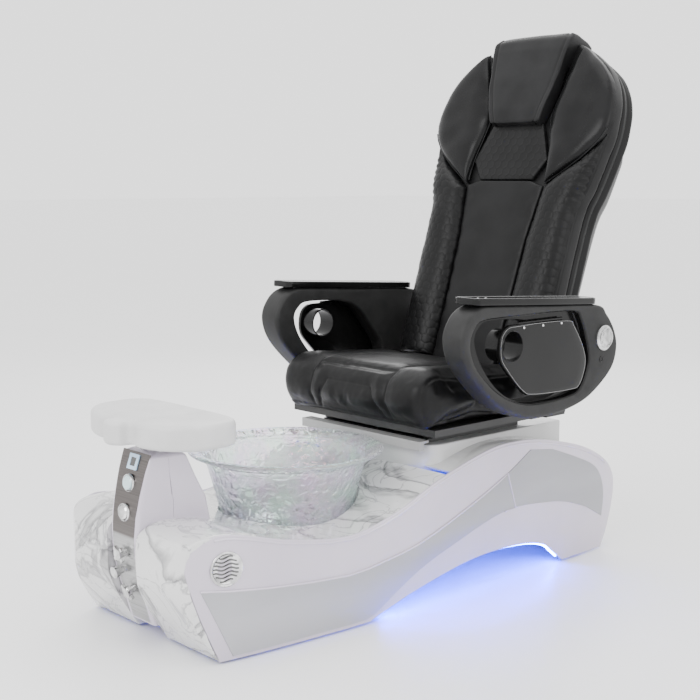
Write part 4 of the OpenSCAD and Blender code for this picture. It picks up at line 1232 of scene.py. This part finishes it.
band_rings = round_edge(54.5, 105.5, 11, 5)
band_rings = band_rings[:6] + [(0, h) for h in np.linspace(67, 93, 9)] + band_rings[6:]
bm = pad(even(band_outline, 8), (0, 440), band_rings, lambda x, up, out: Vector((x, out, up)))
back_piece("side_band", bm, band_press, "band_leather", ["back_band"])

shell_depth = [(-34, 168), (60, 184), (420, 202), (520, 204), (612, 199), (690, 174), (740, 142), (800, 134),
               (838, 120), (858, 108)]


def shell_place(u, v):
    up = -33 + 890 * v
    across = 2 * u - 1
    bend = math.copysign(abs(across) ** 0.8, across)
    half = min(read(back_half, up) - 26, 281)
    rise = max(1 - abs(bend) ** 3.2, 0) ** (1 / 3.2) * ease(v / 0.02) * ease((1 - v) / 0.03)
    rib = 2.5 * sin(up / 26) ** 8 * (abs(bend) < 0.8) * (150 < up < 560)
    return Vector((bend * half, 104 + (read(shell_depth, up) - 104) * rise - rib, up))


bm = skin(90, 180, shell_place, outward=(0, 1, 0))
close_ends(bm)
move_all(bm, on_back)
finished("rear_moulding", bm, finishes["rear_plastic"], "back", ["rear_shell"], sharp=50)

# %% [markdown]
# # The armrests
# An armrest is a thick ring with a hand hole, and its outer face is sunk round the hole to take the cup tray.
# Seen from the hole's middle, each outline is one distance for each direction. So the armrest is a grid that
# runs round the hole one way and round the ring's section the other.
# %% Armrest
ARM_MIDDLE = np.array([225.0, 606.0])
arm_edge = smooth([(-17, 668), (4, 604), (72, 532), (136, 485), (225, 451), (310, 444), (400, 451),
                   (498, 477), (590, 538), (616, 596), (604, 646), (566, 694), (520, 721), (300, 735),
                   (100, 747), (44, 744), (4, 717)], 8, closed=True)
arm_hole = smooth([(50, 660), (66, 694), (105, 708), (235, 700), (302, 672), (360, 608), (398, 556),
                   (392, 512), (330, 490), (220, 494), (140, 532), (76, 600)], 8, closed=True)
arm_recess = smooth([(12, 650), (24, 692), (60, 714), (190, 716), (408, 713), (450, 690), (482, 616),
                     (488, 566), (458, 506), (400, 486), (258, 482), (167, 503), (98, 540), (36, 596)], 8,
                    closed=True)
ARM_IN, ARM_OUT, RECESS = 312, 386, 24


def reach_table(outline):
    """(direction, distance) from the middle of the armrest's hole to an outline."""
    rays = sorted((math.atan2(q[1], q[0]), math.hypot(*q)) for q in (p - ARM_MIDDLE for p in outline))
    return [(rays[-1][0] - 2 * pi, rays[-1][1])] + rays + [(rays[0][0] + 2 * pi, rays[0][1])]


edge_reach, hole_reach, recess_reach = (reach_table(o) for o in (arm_edge, arm_hole, arm_recess))


def arm_section(angle):
    """The ring's section in one direction, as (distance, x) pairs all the way round."""
    edge, hole, recess = (read(t, angle) for t in (edge_reach, hole_reach, recess_reach))
    hole = min(hole, recess - 3)
    r = min(13.0, (edge - recess) * 0.55)
    turn = [k / 6 * pi / 2 for k in range(7)]
    inner = [(edge - 13 * (1 - cos(a)), ARM_IN + 13 * (1 - sin(a))) for a in turn]
    inner += [(hole + 5 * (1 - sin(a)), ARM_IN + 5 * (1 - cos(a))) for a in turn]
    floor_x = ARM_OUT - RECESS
    recess_line = [(hole + 1.5, floor_x), (recess - 4, floor_x), (recess - 1, floor_x + 1),
                   (recess, floor_x + 5), (recess, ARM_OUT - 4), (recess + 1.2, ARM_OUT - 1.2),
                   (recess + 3, ARM_OUT)]
    outer = [(edge - r * (1 - sin(a)), ARM_OUT - r * (1 - cos(a))) for a in turn]
    ring = inner + [(hole, floor_x - 1.5)] + recess_line + outer + [(edge, (ARM_OUT - r + ARM_IN + 13) / 2)]
    return ring + ring[:1]


def arm_place(u, v):
    angle = -pi + 2 * pi * u
    section = arm_section(angle)
    r, x = section[round(v * (len(section) - 1))]
    y, z = ARM_MIDDLE + r * np.array([cos(angle), sin(angle)])
    return at(x, y, z)


def armrest():
    steps = len(arm_section(0.0)) - 1
    return skin(260, steps, arm_place, outward=None, weld=True)


both_sides("armrest_ring", armrest, finishes["arm_plastic"], "arm_{side}",
           ["armrest_{side}"], sharp=45)

# %% [markdown]
# The lining of the armrest's recess is gloss black. It is a thin plate with the same outlines as the recess.
# %% Recess lining


def lining_place(u, v):
    angle = -pi + 2 * pi * u
    recess = read(recess_reach, angle) - 1.0
    hole = min(read(hole_reach, angle), recess - 6)
    line = [(hole + 1, ARM_OUT - RECESS - 1), (hole + 1, ARM_OUT - RECESS + 1.2),
            (recess - 4, ARM_OUT - RECESS + 1.2), (recess - 1.5, ARM_OUT - RECESS + 4),
            (recess - 1.2, ARM_OUT - 5), (recess, ARM_OUT - 4.2), (recess + 0.6, ARM_OUT - 5),
            (recess + 0.6, ARM_OUT - RECESS - 1)]
    line += line[:1]
    r, x = line[round(v * (len(line) - 1))]
    y, z = ARM_MIDDLE + r * np.array([cos(angle), sin(angle)])
    return at(x, y, z)


both_sides("recess_lining", lambda: skin(220, 8, lining_place, weld=True), finishes["tray_gloss"],
           "arm_{side}", sharp=35)

# %% [markdown]
# The cup tray fills the recess. It is a lacquered plate with a thin light rim, a deep sleeve for a cup, and a
# hinge along its top edge with bright screws.
# %% Cup tray
CUP_Y, CUP_Z, CUP_R = 171, 640, 38
flap_edge = smooth([(150, 689), (200, 693), (392, 689), (424, 672), (466, 610), (476, 564), (452, 512),
                    (410, 503), (262, 506), (216, 520), (158, 572), (126, 612), (126, 662)], 8, closed=True)
CUP_MIDDLE = np.array([CUP_Y, CUP_Z], float)


def flap_section(reach):
    turn = [k / 4 * pi / 2 for k in range(5)]
    face, back = ARM_OUT - 3, ARM_OUT - 14
    ring = [(CUP_R, back)] + [(CUP_R, x) for x in np.linspace(back, face + 0.4, 5)[1:]]
    ring += [(CUP_R + 1.4, face + 1.6), (CUP_R + 2.8, face + 1.6), (CUP_R + 3.6, face)]
    ring += [(CUP_R + 3.6 + (reach - 5 - CUP_R - 3.6) * t, face) for t in np.linspace(0.1, 0.9, 5)]
    ring += [(reach - 2.5 * (1 - sin(a)), face - 2.5 * (1 - cos(a))) for a in turn]
    ring += [(reach, back + 1), (reach - 1, back)]
    return ring + ring[:1]


def flap_reach_table():
    rays = sorted((math.atan2(q[1], q[0]), math.hypot(*q)) for q in (p - CUP_MIDDLE for p in flap_edge))
    return [(rays[-1][0] - 2 * pi, rays[-1][1])] + rays + [(rays[0][0] + 2 * pi, rays[0][1])]


flap_reach = flap_reach_table()


def flap_place_tray(u, v):
    angle = -pi + 2 * pi * u
    section = flap_section(max(read(flap_reach, angle), CUP_R + 8))
    r, x = section[round(v * (len(section) - 1))]
    y, z = CUP_MIDDLE + r * np.array([cos(angle), sin(angle)])
    return at(x, y, z)


def along_x(bm, x, y, z):
    """Turns a round part that was made about Z so that its axis points out of the armrest."""
    bmesh.ops.rotate(bm, cent=(0, 0, 0), matrix=Matrix.Rotation(pi / 2, 3, "Y"), verts=bm.verts)
    bmesh.ops.translate(bm, vec=at(x, y, z), verts=bm.verts)
    return bm


def cup_sleeve():
    wall = [(CUP_R, 0), (CUP_R + 2.6, 0), (CUP_R + 3.4, 1), (CUP_R + 3.4, 46), (CUP_R - 0.2, 46),
            (CUP_R - 0.2, 2)]
    return along_x(spun([(r * MM, h * MM) for r, h in wall + wall[:1]], 72), ARM_OUT - 59, CUP_Y, CUP_Z)


def cup_tray():
    plate = skin(240, len(flap_section(100)) - 1, flap_place_tray, weld=True)
    rod = spun([(0, 0), (4.2 * MM, 0), (5 * MM, 1 * MM), (5 * MM, 179 * MM), (4.2 * MM, 180 * MM),
                (0, 180 * MM)], 20)
    bmesh.ops.rotate(rod, cent=(0, 0, 0), matrix=Matrix.Rotation(-pi / 2, 3, "X"), verts=rod.verts)
    bmesh.ops.translate(rod, vec=at(ARM_OUT - 14, 200, 694), verts=rod.verts)
    return join(plate, cup_sleeve(), rod)


both_sides("cup_plate", cup_tray, finishes["tray_gloss"], "flap_{side}", ["cup_tray_{side}"],
           sharp=30)


def rim_line():
    ring = [at(ARM_OUT - 3.2, *(CUP_MIDDLE + (p - CUP_MIDDLE) * (1 - 4.5 / np.linalg.norm(p - CUP_MIDDLE))))
            for p in flap_edge]
    return bead(ring + ring[:1], 0.45, 6)


def screw(radius, height):
    return spun([(0, -1 * MM), (radius * MM, -1 * MM), (radius * MM, height * 0.5 * MM),
                 (radius * 0.8 * MM, height * MM), (radius * 0.45 * MM, height * MM),
                 (radius * 0.3 * MM, height * 0.5 * MM), (0, height * 0.5 * MM)], 20)


def tray_screws():
    heads = [along_x(screw(3.2, 1.6), ARM_OUT - 3, y, 684) for y in (214, 290, 366)]
    return join(*heads)


both_sides("tray_rim_line", rim_line, finishes["grey_strip"], "flap_{side}")
both_sides("tray_screws", tray_screws, finishes["polished_chrome"], "flap_{side}")

# %% [markdown]
# A flat tray lies along the top of each armrest. It slopes a little towards the back, has round corners and
# a thin light rim, and turns about a pin at its front.
# %% Top tray
slope = radians(-3.4)
TRAY_Y, TRAY_Z = 30, 751


def on_tray(x, along, up):
    return at(x, TRAY_Y + along * cos(slope) - up * sin(slope), TRAY_Z + along * sin(slope) + up * cos(slope))


tray_ring = []
tray_corners = ((326, 14, 16), (372, 14, 16), (352, 462, 36), (334, 474, 24))
for (cx, cy, r), start in zip(tray_corners, (180, 270, 0, 90)):
    tray_ring += [(cx + r * cos(radians(start + k * 10)), cy + r * sin(radians(start + k * 10)))
                  for k in range(10)]


def top_tray():
    bm = slab(tray_ring, 17, 2.4, segments=4)
    move_all(bm, lambda x, y, z: on_tray(x, y, z + 1))
    pin = spun([(0, -14 * MM), (5 * MM, -14 * MM), (5 * MM, 2 * MM), (0, 2 * MM)], 24)
    bmesh.ops.translate(pin, vec=on_tray(328, 34, 0), verts=pin.verts)
    return join(bm, pin)


def tray_trim():
    ring = [on_tray(348 + (x - 348) * 0.9, 234 + (y - 234) * 0.985, 18.0) for x, y in tray_ring]
    return bead(ring + ring[:1], 0.5, 6)


def tray_hinge_screws():
    heads = []
    for along in (20, 48):
        head = screw(3.0, 1.4)
        bmesh.ops.translate(head, vec=on_tray(372, along, 18), verts=head.verts)
        heads.append(head)
    return join(*heads)


both_sides("top_plate", top_tray, finishes["tray_gloss"], "tray_{side}", ["arm_tray_{side}"])
both_sides("top_plate_trim", tray_trim, finishes["grey_strip"], "tray_{side}")
both_sides("top_plate_screws", tray_hinge_screws, finishes["polished_chrome"], "tray_{side}")

# %% [markdown]
# A chrome cap covers each armrest's pivot. It has a stepped edge and a raised, ringed middle. Below it is a
# small round socket.
# %% Pivot caps
PIVOT_Y, PIVOT_Z = 545, 631


def pivot_cap():
    cap = [(0, -70), (12, -70), (12, 0.5), (34, 0.5), (34, 4), (32.5, 5.8), (27.5, 6), (27, 6.5), (27, 11),
           (25, 13), (17, 13), (15.5, 11), (14, 11), (12.5, 12.6), (0, 12.6)]
    return along_x(spun([(r * MM, h * MM) for r, h in cap], 96), ARM_OUT, PIVOT_Y, PIVOT_Z)


SOCKET_Y, SOCKET_Z = 539, 573


def socket():
    ring = [(4.5, -5), (8.6, -5), (8.6, 0.8), (7.8, 1.4), (6.2, 1.4), (5.2, 0.6), (4.5, -5)]
    back = spun([(0, -5.6 * MM), (8.6 * MM, -5.6 * MM), (8.6 * MM, -4.8 * MM), (0, -4.8 * MM)], 40)
    return along_x(join(spun([(r * MM, h * MM) for r, h in ring], 40), back), ARM_OUT, SOCKET_Y, SOCKET_Z)


both_sides("charging_socket", socket, finishes["tray_gloss"], "arm_{side}", sharp=30)
both_sides("pivot_cap", pivot_cap, finishes["polished_chrome"], "seat", sharp=30)
